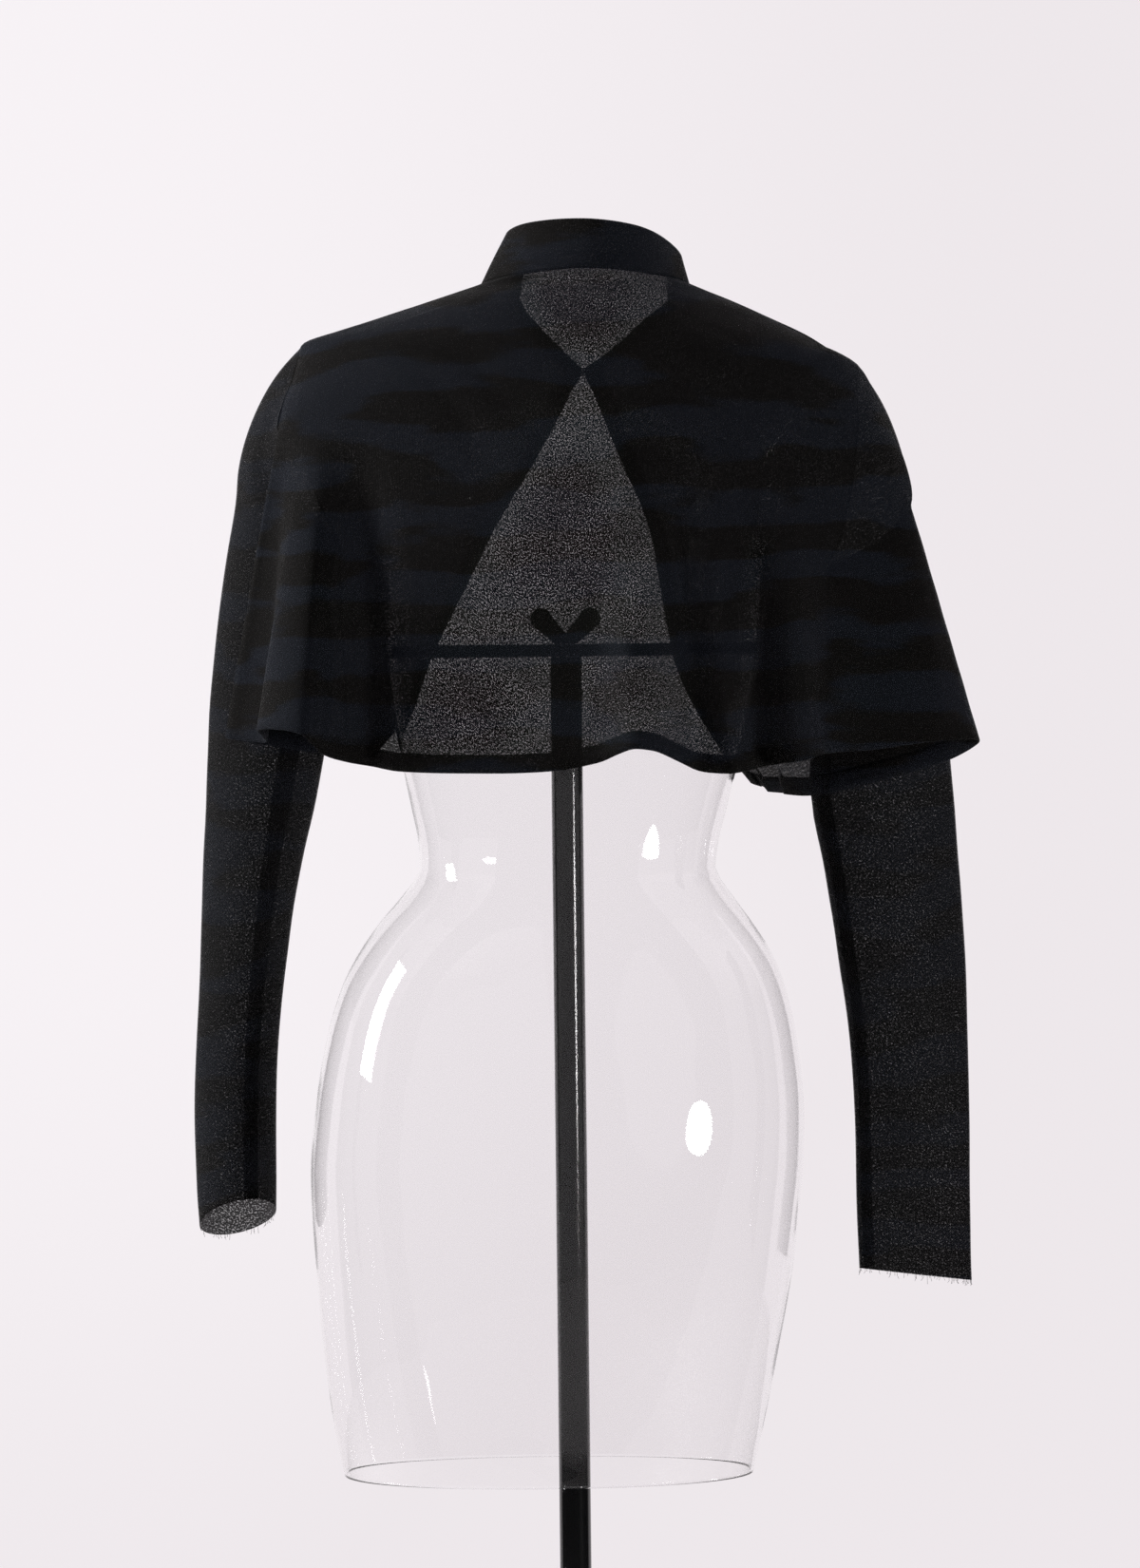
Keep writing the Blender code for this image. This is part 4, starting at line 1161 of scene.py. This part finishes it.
class ShaderSheet:
    """A material and the nodes that feed its one Principled shader."""

    def __init__(self, name: str) -> None:
        """Starts a material under a name."""
        self.material = bpy.data.materials.new(name)
        self.material.use_nodes = True
        self.nodes = self.material.node_tree.nodes
        self.links = self.material.node_tree.links
        self.shader = self.nodes["Principled BSDF"]

    def put(self, socket: bpy.types.NodeSocket, value: "Value | float | Sequence[float]") -> None:
        """Feeds a socket with a value, or sets it to a constant."""
        if isinstance(value, Value):
            self.links.new(value.socket, socket)
        else:
            socket.default_value = value

    def node(self, kind: str, settings: dict, values: dict, output: int | str = 0) -> Value:
        """Adds a node.

        Args:
            kind: the node's type.
            settings: its settings by name.
            values: its socket values by name or number.
            output: the output that is used.

        Returns:
            The output's value.
        """
        node = self.nodes.new(kind)
        for name, setting in settings.items():
            setattr(node, name, setting)
        for name, value in values.items():
            self.put(node.inputs[name], value)
        return Value(self, node.outputs[output])

    def maths(self, operation: str, *values: "Value | float") -> Value:
        """Adds a maths node for an operation on one or two values."""
        return self.node("ShaderNodeMath", {"operation": operation}, dict(enumerate(values)))

    def noise(self, place: Value, scale: float, detail: float) -> Value:
        """Soft noise between 0 and 1 at a place, so many features to the metre."""
        return self.node(
            "ShaderNodeTexNoise", {}, {"Vector": place, "Scale": scale, "Detail": detail})

    def stretched(self, place: Value, scale: Sequence[float]) -> Value:
        """The place, scaled along each axis."""
        return self.node("ShaderNodeMapping", {"vector_type": "POINT"}, {"Vector": place, "Scale": scale})

    def part(self, place: Value, axis: str) -> Value:
        """One coordinate of a place."""
        return self.node("ShaderNodeSeparateXYZ", {}, {0: place}, axis)

    def blend(self, factor: Value, low: Sequence[float], high: Sequence[float]) -> Value:
        """A colour between two, by a factor."""
        return self.node(
            "ShaderNodeMix", {"data_type": "RGBA"}, {0: factor, 6: (*low, 1.0), 7: (*high, 1.0)}, 2)

    def object_place(self) -> Value:
        """The place in the object's own metres."""
        return self.node("ShaderNodeTexCoord", {}, {}, "Object")

    def flat_place(self) -> Value:
        """The place on the flat cut, in metres."""
        return self.node("ShaderNodeUVMap", {"uv_map": "UVMap"}, {}, 0)

    def bump(self, height: Value, distance: float) -> None:
        """Roughens the shader's normal by a height between 0 and 1, over a distance in metres."""
        normal = self.node(
            "ShaderNodeBump", {}, {"Strength": 1.0, "Distance": distance, "Height": height})
        self.put(self.shader.inputs["Normal"], normal)

    def set(self, **values: "Value | float | Sequence[float]") -> None:
        """Feeds the shader's sockets, named with underscores for spaces."""
        for name, value in values.items():
            self.put(self.shader.inputs[name.replace("_", " ")], value)


@dataclass(frozen=True)
class KnitFinish:
    """A sheer dark knit.

    Attributes:
        name: the material's name.
        brown: the colour of its warm bands.
        slate: the colour of its cool bands.
        rib: the rib's pitch in metres.
        holes: how many pinholes lie along a metre.
        cover: where the noise turns from yarn to hole, low and high.
        clear: how much light a pinhole lets through at each face.
        ground: how much light the yarn lets through at each face.
        banding: how strongly the bands show.
        roughness: its middle roughness.
        specular: how much it shines.
        sheen: how much it shines at a glancing angle.
    """

    name: str
    brown: tuple[float, float, float]
    slate: tuple[float, float, float]
    rib: float
    holes: float
    cover: tuple[float, float]
    clear: float
    ground: float
    banding: float
    roughness: float = 0.86
    specular: float = 0.09
    sheen: float = 0.02

    def make(self) -> bpy.types.Material:
        """Makes the material: ribs and pinholes on the flat cut, bands across the worn garment."""
        sheet = ShaderSheet(self.name)
        flat, place = sheet.flat_place(), sheet.object_place()
        ribs = (sheet.part(flat, "X") * (2 * math.pi / self.rib)).sine() * 0.5 + 0.5
        broad = sheet.noise(sheet.stretched(place, BAND_DRIFT), 1.0, 1.0)
        patch = sheet.noise(sheet.stretched(place, BAND_PATCH), 1.0, 3.0)
        height = sheet.part(place, "Z") + (broad - 0.5) * BAND_WANDER
        band = (height * (2 * math.pi / BAND_PITCH)).sine() * BAND_BEAT
        band = (band + (patch - 0.5) * BAND_BREAK).step(-BAND_EDGE, BAND_EDGE)
        tone = (band - 0.5) * self.banding + 0.5
        tone = tone + (ribs - 0.5) * RIB_TONE
        speck = sheet.noise(flat, self.holes, 1.0).step(*self.cover)
        density = sheet.noise(flat, DENSITY_SCALE, 2.0) * DENSITY_SPREAD + DENSITY_LEAST
        through = speck * density * self.clear + self.ground
        fuzz = sheet.noise(flat, FUZZ_SCALE, 2.0)
        sheet.bump(ribs * 0.7 + fuzz * 0.5 - speck * 0.4, RIB_HEIGHT)
        sheet.set(
            Base_Color=sheet.blend(tone, self.brown, self.slate),
            Roughness=self.roughness + (fuzz - 0.5) * FUZZ_ROUGHNESS,
            Alpha=1.0 - through,
            Specular_IOR_Level=self.specular,
            Sheen_Weight=self.sheen,
            Sheen_Roughness=0.5,
        )
        return sheet.material


@dataclass(frozen=True)
class ClearFinish:
    """A clear hard plastic.

    Attributes:
        name: the material's name.
        tint: its colour.
        roughness: its roughness.
        bend: its index of refraction.
    """

    name: str
    tint: tuple[float, float, float]
    roughness: float
    bend: float

    def make(self) -> bpy.types.Material:
        """Makes the material, with the faint unevenness of a moulded wall."""
        sheet = ShaderSheet(self.name)
        place = sheet.object_place()
        cloud = sheet.noise(place, CLOUD_SCALE, 2.0)
        sheet.bump(sheet.noise(place, MOULD_SCALE, 1.0), MOULD_HEIGHT)
        sheet.set(
            Base_Color=(*self.tint, 1.0),
            Roughness=self.roughness + cloud * CLOUD_ROUGHNESS,
            Transmission_Weight=1.0,
            IOR=self.bend,
        )
        return sheet.material


@dataclass(frozen=True)
class GlossFinish:
    """A dark hard finish.

    Attributes:
        name: the material's name.
        colour: its colour.
        roughness: its roughness.
        metallic: whether it is bare metal.
    """

    name: str
    colour: tuple[float, float, float]
    roughness: float
    metallic: float

    def make(self) -> bpy.types.Material:
        """Makes the material, a little uneven from handling."""
        sheet = ShaderSheet(self.name)
        place = sheet.object_place()
        smear = sheet.noise(sheet.stretched(place, SMEAR_STRETCH), SMEAR_SCALE, 3.0)
        sheet.set(
            Base_Color=(*self.colour, 1.0),
            Roughness=self.roughness + (smear - 0.5) * SMEAR_ROUGHNESS,
            Metallic=self.metallic,
        )
        sheet.bump(sheet.noise(place, PAINT_SCALE, 2.0), PAINT_HEIGHT)
        return sheet.material


BODY_KNIT = KnitFinish(
    name="sheer ribbed knit", brown=(0.0052, 0.0044, 0.0036), slate=(0.0094, 0.0112, 0.0162), rib=0.0018,
    holes=960.0, cover=(0.50, 0.62), clear=0.31, ground=0.105, banding=0.95,
)
SLEEVE_KNIT = KnitFinish(
    name="sheer ribbed knit, one layer round the arm", brown=(0.0052, 0.0044, 0.0036),
    slate=(0.0084, 0.0098, 0.0140), rib=0.0018, holes=820.0, cover=(0.50, 0.62), clear=0.40,
    ground=0.16, banding=0.6,
)
CLEAR_PLASTIC = ClearFinish("clear plastic", (0.971, 0.966, 0.970), 0.002, 1.33)
BLACK_GLOSS = GlossFinish("black gloss paint", (0.003, 0.003, 0.0032), 0.13, 0.0)
BLACK_WIRE = GlossFinish("blackened wire", (0.05, 0.05, 0.055), 0.35, 1.0)


@dataclass
class Cardigan:
    """The garment: two fronts, a back, two sleeves, a stand collar and the closing point.

    The sizes are in millimetres. The steps say how finely the rows and columns of the cut are divided,
    turn_reaches where the lines of a turned strip lie from its edge, and the insets how far inside
    its panel a strip lies.
    """

    cut: Cut
    knit: bpy.types.Material
    sleeve_knit: bpy.types.Material
    wire: bpy.types.Material
    row_steps: int = 5
    column_steps: int = 4
    front_steps: int = 5
    sleeve_steps: int = 6
    wall: float = 0.7
    strip_wall: float = 0.5
    collar_layer: float = 0.6
    collar_half: float = 0.9
    fold_round: float = 0.21
    turn_reaches: tuple[float, ...] = (4.0, 8.0, 12.5)
    hem_inset: float = 1.4
    edge_inset: float = 2.2
    lip: float = 0.7
    ripple: float = 0.35
    sleeve_ripple: float = 0.455
    welt_radius: float = 0.9
    allowance_columns: int = 6
    allowance_inset: float = 1.2
    frays: int = 56
    fray_radius: float = 0.14
    fray_lean: float = 0.45
    fray_lengths: tuple[float, float] = (1.5, 4.5)
    wire_radius: float = 0.5
    loop_radius: float = 2.6
    loop_shift: float = 1.8
    closing_depth: float = 1.9
    loop_step: float = 1.3

    def declare(self, piece: bpy.types.Object, surface: Surface) -> None:
        """Logs the size of a sheet's flat cut and the sheet's area.

        Args:
            piece: the sheet.
            surface: its middle surface.
        """
        u, v = surface.flat()
        wide, long = np.ptp(u, axis=1).max() * MM, v.max() * MM
        LOG.info("%s: %.3f by %.3f m, %.4f m2", piece.name, wide, long, surface.area())

    def turned(self, name: str, surface: Surface, axis: int, inset: float) -> bpy.types.Object:
        """A narrow strip turned up inside an edge.

        Args:
            name: the strip's name.
            surface: the panel it belongs to.
            axis: 0 for the hem, 1 for the free front edge.
            inset: how far inside the panel it lies.

        Returns:
            The strip.
        """
        strip = surface.band(axis, self.turn_reaches, inset, self.lip)
        return Bench.sheet(name, strip, self.strip_wall, self.knit)

    def welt(self, name: str, path: np.ndarray) -> None:
        """A seam's narrow ridge along an open path."""
        ridge = Bench.tube(path, self.welt_radius, 6, False)
        Bench.keep(name, Bench.grid(ridge), self.knit, "knit")

    def build_panels(self) -> tuple[Surface, dict[Side, Surface]]:
        """Builds the back and the fronts with their turned edges."""
        seams = (Seam.TOP, Seam.START, Seam.END)
        back = Surface.through(self.cut.back(), self.row_steps, self.column_steps, False, 0.5, seams)
        back = back.press(BACK_CREASES).ripple(self.ripple)
        panel = Bench.sheet("back_panel_cloth", back, self.wall, self.knit, ("back_panel",))
        strip = self.turned("hem_back", back, 0, self.hem_inset)
        self.declare(panel, back)
        fronts = {}
        for side in Side:
            rows = self.cut.front(side)
            front = Surface.through(
                rows, self.row_steps, self.front_steps, False, 0.0, (Seam.TOP, Seam.START))
            front = front.press(FRONT_CREASES).ripple(self.ripple)
            name = f"front_{side.value}"
            panel = Bench.sheet(f"{name}_cloth", front, self.wall, self.knit, (name,))
            strips = (
                self.turned(f"hem_{side.value}", front, 0, self.hem_inset),
                self.turned(f"edge_{side.value}", front, 1, self.edge_inset),
            )
            self.declare(panel, front)
            fronts[side] = front
        return back, fronts

    def build_sleeves(self) -> dict[Side, Surface]:
        """Builds the sleeves with their seam allowances and raw cuffs."""
        sleeves = {}
        for side in Side:
            steps = self.sleeve_steps
            sleeve = Surface.through(self.cut.sleeve(side), steps, steps, True, 0.0, (Seam.TOP,))
            sleeve = sleeve.press(SLEEVE_CREASES[side]).ripple(self.sleeve_ripple)
            name = f"sleeve_{side.value}"
            piece = Bench.sheet(f"{name}_cloth", sleeve, self.wall, self.sleeve_knit, (name,))
            first = round(ALLOWANCE_TURN[side] * sleeve.points.shape[1])
            strip = sleeve.strip(first, first + self.allowance_columns, self.allowance_inset)
            inner = Bench.sheet(f"allowance_{side.value}", strip, self.strip_wall, self.sleeve_knit)
            self.declare(piece, sleeve)
            self.build_frays(side, sleeve)
            sleeves[side] = sleeve
        return sleeves

    def build_frays(self, side: Side, sleeve: Surface) -> None:
        """Lets short loose yarn ends stand out of a raw cuff.

        Args:
            side: the sleeve's side.
            sleeve: its surface.
        """
        chance = np.random.default_rng(11 if side is Side.LEFT else 12)
        cuff, before = sleeve.points[-1], sleeve.points[-3]
        yarns = []
        for _ in range(self.frays):
            k = int(chance.integers(len(cuff)))
            out = (cuff[k] - before[k]) / np.linalg.norm(cuff[k] - before[k])
            lean = out + chance.normal(0, self.fray_lean, 3)
            length = chance.uniform(*self.fray_lengths)
            middle = cuff[k] + out * length * 0.5
            path = np.array([cuff[k] - out * 0.6, middle, middle + lean * length * 0.5])
            yarns.append(Bench.tube(path, self.fray_radius, 4, False))
        Bench.keep(f"frays_{side.value}", Bench.joined(yarns), self.sleeve_knit, "knit")

    def build_collar(self) -> Surface:
        """Builds the stand collar, folded over at its top."""
        half = self.collar_half
        single = Surface.through(
            self.cut.collar(), self.row_steps, self.column_steps, False, 0.5, (Seam.TOP,))
        single = single.ripple(self.ripple)
        outer, inner = single.moved(half).points, single.moved(-half).points
        rise = single.points[-1] - single.points[-2]
        rise = rise / np.linalg.norm(rise, axis=1, keepdims=True)
        ridge = single.points[-1] + rise * half
        shoulders = [(side[-1] + ridge) / 2 + rise * half * self.fold_round for side in (outer, inner)]
        rows = [*outer, shoulders[0], ridge, shoulders[1], *inner[::-1]]
        folded = Surface(np.array(rows), False, 0.5)
        collar = Bench.sheet("collar_cloth", folded, self.collar_layer, self.knit, ("collar",))
        self.declare(collar, folded)
        return single

    def build_welts(self, back: Surface, fronts: dict[Side, Surface], sleeves: dict[Side, Surface],
                    collar: Surface) -> None:
        """Builds the narrow ridges of the seams.

        Args:
            back: the back's surface.
            fronts: the fronts' surfaces.
            sleeves: the sleeves' surfaces.
            collar: the collar's surface.
        """
        for side in Side:
            hole = sleeves[side].points[0]
            self.welt(f"armhole_seam_{side.value}", np.concatenate([hole, hole[:1]]))
            edge = back.points[:, 0 if side is Side.LEFT else -1]
            self.welt(f"shoulder_seam_{side.value}", edge[:TIP * self.row_steps + 1])
            self.welt(f"side_seam_{side.value}", edge[UNDERARM * self.row_steps:])
        self.welt("neck_seam", collar.points[0])

    def build_closing(self) -> None:
        """Builds the hook behind the right front's point and the eye behind the left's."""
        left, right = self.cut.front(Side.LEFT), self.cut.front(Side.RIGHT)
        a, b = left[TIP][-1], right[TIP][-1]
        across = (b - a).normalized()
        up = left[TIP - 1][-1] + right[TIP - 1][-1] - left[TIP + 1][-1] - right[TIP + 1][-1]
        up = (up - across * up.dot(across)).normalized()
        inward = up.cross(across).normalized()
        inward = inward if inward.y < 0 else -inward
        middle = (a + b) / 2 + inward * self.closing_depth
        turns = [2 * math.pi * k / 40 for k in range(40)]
        for name, centre in (
            ("eye", middle - across * self.loop_shift),
            ("hook", middle + inward * self.loop_step + across * self.loop_shift),
        ):
            path = [centre + (across * math.cos(t) + up * math.sin(t)) * self.loop_radius for t in turns]
            ring = Bench.tube(np.array([tuple(p) for p in path]), self.wire_radius, 10, True)
            Bench.keep(f"{name}_wire", Bench.grid(ring), self.wire, "wire", (name,))

    def build(self) -> None:
        """Builds the whole garment."""
        back, fronts = self.build_panels()
        sleeves = self.build_sleeves()
        collar = self.build_collar()
        self.build_welts(back, fronts, sleeves, collar)
        self.build_closing()


@dataclass
class DressForm:
    """The clear limbless form, open below and closed at the neck, in millimetres.

    The rows close up towards the neck, and a support row lies just over the rim.
    """

    shape: FormShape
    plastic: bpy.types.Material
    wall: float = 1.6
    rows: int = 110
    crowding: float = 1.3
    rim_row: float = 0.2
    columns: int = 120
    dome_rise: float = 1.2
    dome_shares: tuple[float, ...] = (0.8, 0.6, 0.4, 0.2, 0.0)

    def build(self) -> None:
        """Builds the form's wall."""
        low, high = self.shape.rings[0].z, self.shape.rings[-1].z
        turns = [2 * math.pi * j / self.columns for j in range(self.columns)]
        rows = []
        for k in (0, self.rim_row, *range(1, self.rows + 1)):
            rise = (high - low) * (1 - (1 - k / self.rows) ** self.crowding)
            ring = self.shape.ring(low + rise)
            rows.append([tuple(self.shape.point(ring, turn)) for turn in turns])
        top = np.array(rows[-1])
        middle = top.mean(axis=0)
        for share in self.dome_shares:
            ring = middle + (top - middle) * share
            ring[:, 2] += (1 - share * share) * self.dome_rise
            rows.append([tuple(point) for point in ring])
        bm = Bench.grid(Surface(np.array(rows), True))
        bmesh.ops.recalc_face_normals(bm, faces=bm.faces)
        piece = Bench.keep("form_wall", bm, self.plastic, "clear_plastic", ("form_shell",))
        Bench.wall(piece, self.wall, offset=-1.0)


@dataclass
class Stand:
    """The pole with its bar, its wing nut and its round plate, in millimetres and degrees."""

    shape: FormShape
    paint: bpy.types.Material
    gap: float = 0.3
    pole_radius: float = 11.25
    pole_edge: float = 0.6
    pole_segments: int = 64
    plate_radius: float = 170.0
    plate_thickness: float = 8.0
    plate_edge: float = 2.0
    plate_radians: tuple[float, ...] = (0.4, 0.8, 1.2)
    plate_segments: int = 96
    bar_height: float = 1182.0
    bar_thickness: float = 9.0
    bar_depth: float = 20.0
    bar_edge: float = 1.0
    bar_inset: float = 4.9
    nut_half_base: float = 8.0
    nut_thickness: float = 6.0
    ear_radius: float = 7.8
    ear_spread: float = 17.3
    ear_height: float = 18.0
    ear_turns: tuple[float, float] = (-60.0, 230.0)
    ear_points: int = 25
    smooth_below: float = 35.0

    def build(self) -> None:
        """Builds the stand's four parts."""
        self.build_pole()
        self.build_plate()
        self.build_bar()
        self.build_nut()

    def finish(self, name: str, bm: bmesh.types.BMesh, replaced: Sequence[str]) -> None:
        """Keeps a painted part, smooth but for its corners."""
        piece = Bench.keep(name, bm, self.paint, "black_gloss", replaced)
        piece.data.set_sharp_from_angle(angle=math.radians(self.smooth_below))

    def build_plate(self) -> None:
        """Builds the round plate."""
        rim, top, edge = self.plate_radius, self.plate_thickness, self.plate_edge
        profile = [(0, 0), (rim - edge, 0), (rim, edge), (rim, top - edge)]
        for turn in self.plate_radians:
            profile.append((rim - edge + edge * math.cos(turn), top - edge + edge * math.sin(turn)))
        profile += [(rim - edge, top), (0, top)]
        self.finish("base_plate_paint", Bench.spun(profile, self.plate_segments), ("base_plate",))

    def build_pole(self) -> None:
        """Builds the pole between the plate and the bar."""
        low, high = self.plate_thickness + self.gap, self.bar_height - self.gap
        r, edge = self.pole_radius, self.pole_edge
        profile = [(0, low), (r - edge, low), (r, low + edge)]
        profile += [(r, high - edge), (r - edge, high), (0, high)]
        self.finish("pole_paint", Bench.spun(profile, self.pole_segments), ("pole",))

    def build_bar(self) -> None:
        """Builds the flat bar inside the form."""
        ring = self.shape.ring(self.bar_height)
        size = Vector((2 * (ring.half_width - self.bar_inset), self.bar_depth, self.bar_thickness))
        place = Vector((ring.centre, 0.0, self.bar_height + self.bar_thickness / 2))
        bm = bmesh.new()
        bmesh.ops.create_cube(bm, size=1.0)
        bmesh.ops.scale(bm, vec=size * MM, verts=bm.verts)
        bmesh.ops.translate(bm, vec=place * MM, verts=bm.verts)
        bmesh.ops.bevel(
            bm, geom=bm.edges, offset=self.bar_edge * MM, segments=3, profile=0.5, affect="EDGES",
            material=-1,
        )
        self.finish("crossbar_paint", bm, ("crossbar",))

    def build_nut(self) -> None:
        """Builds the wing nut: a plate with two round ears over a straight foot."""
        low = self.bar_height + self.bar_thickness + self.gap
        start, run = self.ear_turns
        ear = []
        for k in range(self.ear_points):
            angle = math.radians(start + run * k / (self.ear_points - 1))
            x = self.ear_spread + self.ear_radius * math.cos(angle)
            ear.append((x, self.ear_height + self.ear_radius * math.sin(angle)))
        base = self.nut_half_base
        outline = [(-base, 0.0), (base, 0.0), *ear, (0.0, base)]
        outline += [(-x, z) for x, z in reversed(ear)]
        back = -self.nut_thickness / 2 * MM
        bm = bmesh.new()
        verts = [bm.verts.new((x * MM, back, (low + z) * MM)) for x, z in outline]
        grown = bmesh.ops.extrude_face_region(bm, geom=[bm.faces.new(verts)])
        moved = [item for item in grown["geom"] if isinstance(item, bmesh.types.BMVert)]
        bmesh.ops.translate(bm, vec=(0, self.nut_thickness * MM, 0), verts=moved)
        bmesh.ops.recalc_face_normals(bm, faces=bm.faces)
        self.finish("wing_nut_paint", bm, ("wing_nut",))


class Lamp(NamedTuple):
    """A soft lamp: where it hangs and what it faces in metres, its outline and its power in watts."""

    name: str
    place: tuple[float, float, float]
    aim: tuple[float, float, float]
    outline: str
    size: tuple[float, float]
    power: float
    mirrored: bool


@dataclass
class Studio:
    """The pale round room, its lamps and the camera.

    The room's radius, the sensor and the lens are in millimetres and the rest in metres. Bearings are
    degrees from +X towards +Y. The backdrop's glowing colours carry painted shade of the studio's light:
    they darken from the lit left to the shaded right over its spread, and move on to the shaded right's
    below its fall, so the backdrop glows darker towards the bottom.
    """

    radius: float = 13000.0
    wall_steps: int = 48
    rear: tuple[float, float] = (20.0, 160.0)
    # Painted shade: the rear backdrop glows lighter at the left, darker at the right and darker towards
    # the bottom, for the studio light's falloff
    backdrop_lit_left: tuple[float, float, float] = (0.885, 0.848, 0.872)
    backdrop_shaded_right: tuple[float, float, float] = (0.805, 0.762, 0.786)
    backdrop_spread: float = 1.4
    backdrop_shade_fall: tuple[float, float] = (-1.5, 0.9)
    shade_fall_share: float = 0.9
    room_colour: tuple[float, float, float] = (0.42, 0.41, 0.415)
    wall_colour: tuple[float, float, float] = (0.12, 0.117, 0.119)
    floor_colour: tuple[float, float, float] = (0.78, 0.76, 0.76)
    floor_radius: float = 3.0
    floor_height: float = -0.0002
    ambient: tuple[float, float, float] = (0.035, 0.035, 0.037)
    lamps: Sequence[Lamp] = (
        Lamp("left_softbox", (-2.5, -0.15, 1.95), (0.0, 0.0, 1.15), "RECTANGLE", (0.5, 1.25), 84.0, True),
        Lamp("right_softbox", (1.85, -1.7, 0.9), (0.0, 0.0, 1.1), "ELLIPSE", (0.6, 0.42), 20.0, True),
        Lamp("top_fill", (0.0, -1.1, 3.5), (0.0, 0.0, 1.2), "RECTANGLE", (2.0, 1.0), 12.0, False),
    )
    camera_place: tuple[float, float, float] = (0.002, -4.6, 1.091)
    camera_roll: float = 0.011
    sensor: float = 36.0
    lens: float = 147.6
    sight: float = 60.0

    def glow(self, name: str, left: tuple[float, ...], right: tuple[float, ...]) -> bpy.types.Material:
        """A backdrop that glows, with one colour at its left and one at its right. Where the two differ,
        the
        glow is painted shade: darker to the right and, below the fall, darker towards the bottom.
        """
        sheet = ShaderSheet(name)
        place = sheet.object_place()
        # Painted shade: the glow darkens to the right over the spread and towards the bottom below the
        # fall
        share = sheet.part(place, "X").step(-self.backdrop_spread, self.backdrop_spread)
        height = sheet.part(place, "Z").step(*self.backdrop_shade_fall)
        factor = share + (1.0 - height) * self.shade_fall_share
        sheet.set(
            Base_Color=(*self.wall_colour, 1.0), Roughness=1.0, Specular_IOR_Level=0.0,
            Emission_Color=sheet.blend(factor, left, right), Emission_Strength=1.0,
        )
        sheet.material.cycles.emission_sampling = "NONE"
        return sheet.material

    def wall(self, name: str, first: float, last: float, material: bpy.types.Material) -> bpy.types.Object:
        """A share of the round room, from one bearing to another.

        Args:
            name: its name.
            first: the first bearing in degrees from +X towards +Y.
            last: the last bearing.
            material: its material.

        Returns:
            The wall, curved in above and below.
        """
        steps = range(self.wall_steps + 1)
        turns = [math.radians(first + (last - first) * j / self.wall_steps) for j in steps]
        rows = []
        for k in steps:
            lift = math.radians(90 - 180 * k / self.wall_steps)
            flat, height = self.radius * math.cos(lift), self.radius * math.sin(lift)
            rows.append([(flat * math.cos(t), flat * math.sin(t), height) for t in turns])
        wall = Bench.made(name, Bench.grid(Surface(np.array(rows))), material)
        wall.visible_shadow = False
        return wall

    def floor(self) -> bpy.types.Object:
        """The round floor."""
        pale = ShaderSheet("pale floor")
        pale.set(Base_Color=(*self.floor_colour, 1.0), Roughness=0.7, Specular_IOR_Level=0.2)
        bm = bmesh.new()
        bmesh.ops.create_circle(bm, cap_ends=True, segments=96, radius=self.floor_radius)
        bmesh.ops.translate(bm, vec=(0, 0, self.floor_height), verts=bm.verts)
        return Bench.made("floor", bm, pale.material)

    def hang(self, lamp: Lamp) -> None:
        """Hangs a soft lamp."""
        light = bpy.data.lights.new(lamp.name, "AREA")
        light.shape = lamp.outline
        light.size, light.size_y = lamp.size
        light.energy = lamp.power
        hung = bpy.data.objects.new(lamp.name, light)
        hung.location = lamp.place
        turn = (Vector(lamp.aim) - Vector(lamp.place)).to_track_quat("-Z", "Y")
        hung.rotation_euler = turn.to_euler()
        hung.visible_glossy = lamp.mirrored
        hung.visible_transmission = lamp.mirrored
        bpy.context.scene.collection.objects.link(hung)

    def build(self) -> None:
        """Builds the room, the lamps and the camera."""
        first, last = self.rear
        backdrop = self.glow("pale backdrop", self.backdrop_lit_left, self.backdrop_shaded_right)
        rear = self.wall("backdrop_rear", first, last, backdrop)
        room = self.glow("pale room", self.room_colour, self.room_colour)
        rest = self.wall("backdrop_rest", last, first + 360.0, room)
        rest.visible_diffuse = False
        rest.visible_glossy = False
        self.floor()
        for lamp in self.lamps:
            self.hang(lamp)
        world = bpy.data.worlds.new("studio")
        bpy.context.scene.world = world
        world.use_nodes = True
        background = world.node_tree.nodes["Background"]
        background.inputs["Color"].default_value = (*self.ambient, 1.0)
        background.inputs["Strength"].default_value = 1.0
        self.build_camera()

    def build_camera(self) -> None:
        """Sets the camera level behind the object."""
        data = bpy.data.cameras.new("camera")
        data.sensor_width = self.sensor
        data.lens = self.lens
        data.clip_end = self.sight
        camera = bpy.data.objects.new("camera", data)
        camera.location = self.camera_place
        camera.rotation_euler = (math.pi / 2, self.camera_roll, 0.0)
        bpy.context.scene.collection.objects.link(camera)
        bpy.context.scene.camera = camera


def main() -> None:
    """Builds the form, the stand, the garment and the studio."""
    logging.basicConfig(level=logging.INFO, format="%(message)s")
    shape = FormShape()
    DressForm(shape, CLEAR_PLASTIC.make()).build()
    Stand(shape, BLACK_GLOSS.make()).build()
    Cardigan(Cut(shape), BODY_KNIT.make(), SLEEVE_KNIT.make(), BLACK_WIRE.make()).build()
    Studio().build()
    scene = bpy.context.scene
    scene.view_settings.view_transform = "Standard"
    scene.cycles.use_denoising = True
    scene.cycles.denoising_prefilter = "NONE"
    scene.cycles.max_bounces = 14
    scene.cycles.diffuse_bounces = 2
    scene.cycles.glossy_bounces = 6
    scene.cycles.transmission_bounces = 12
    scene.cycles.transparent_max_bounces = 24


if __name__ == "__main__":
    main()
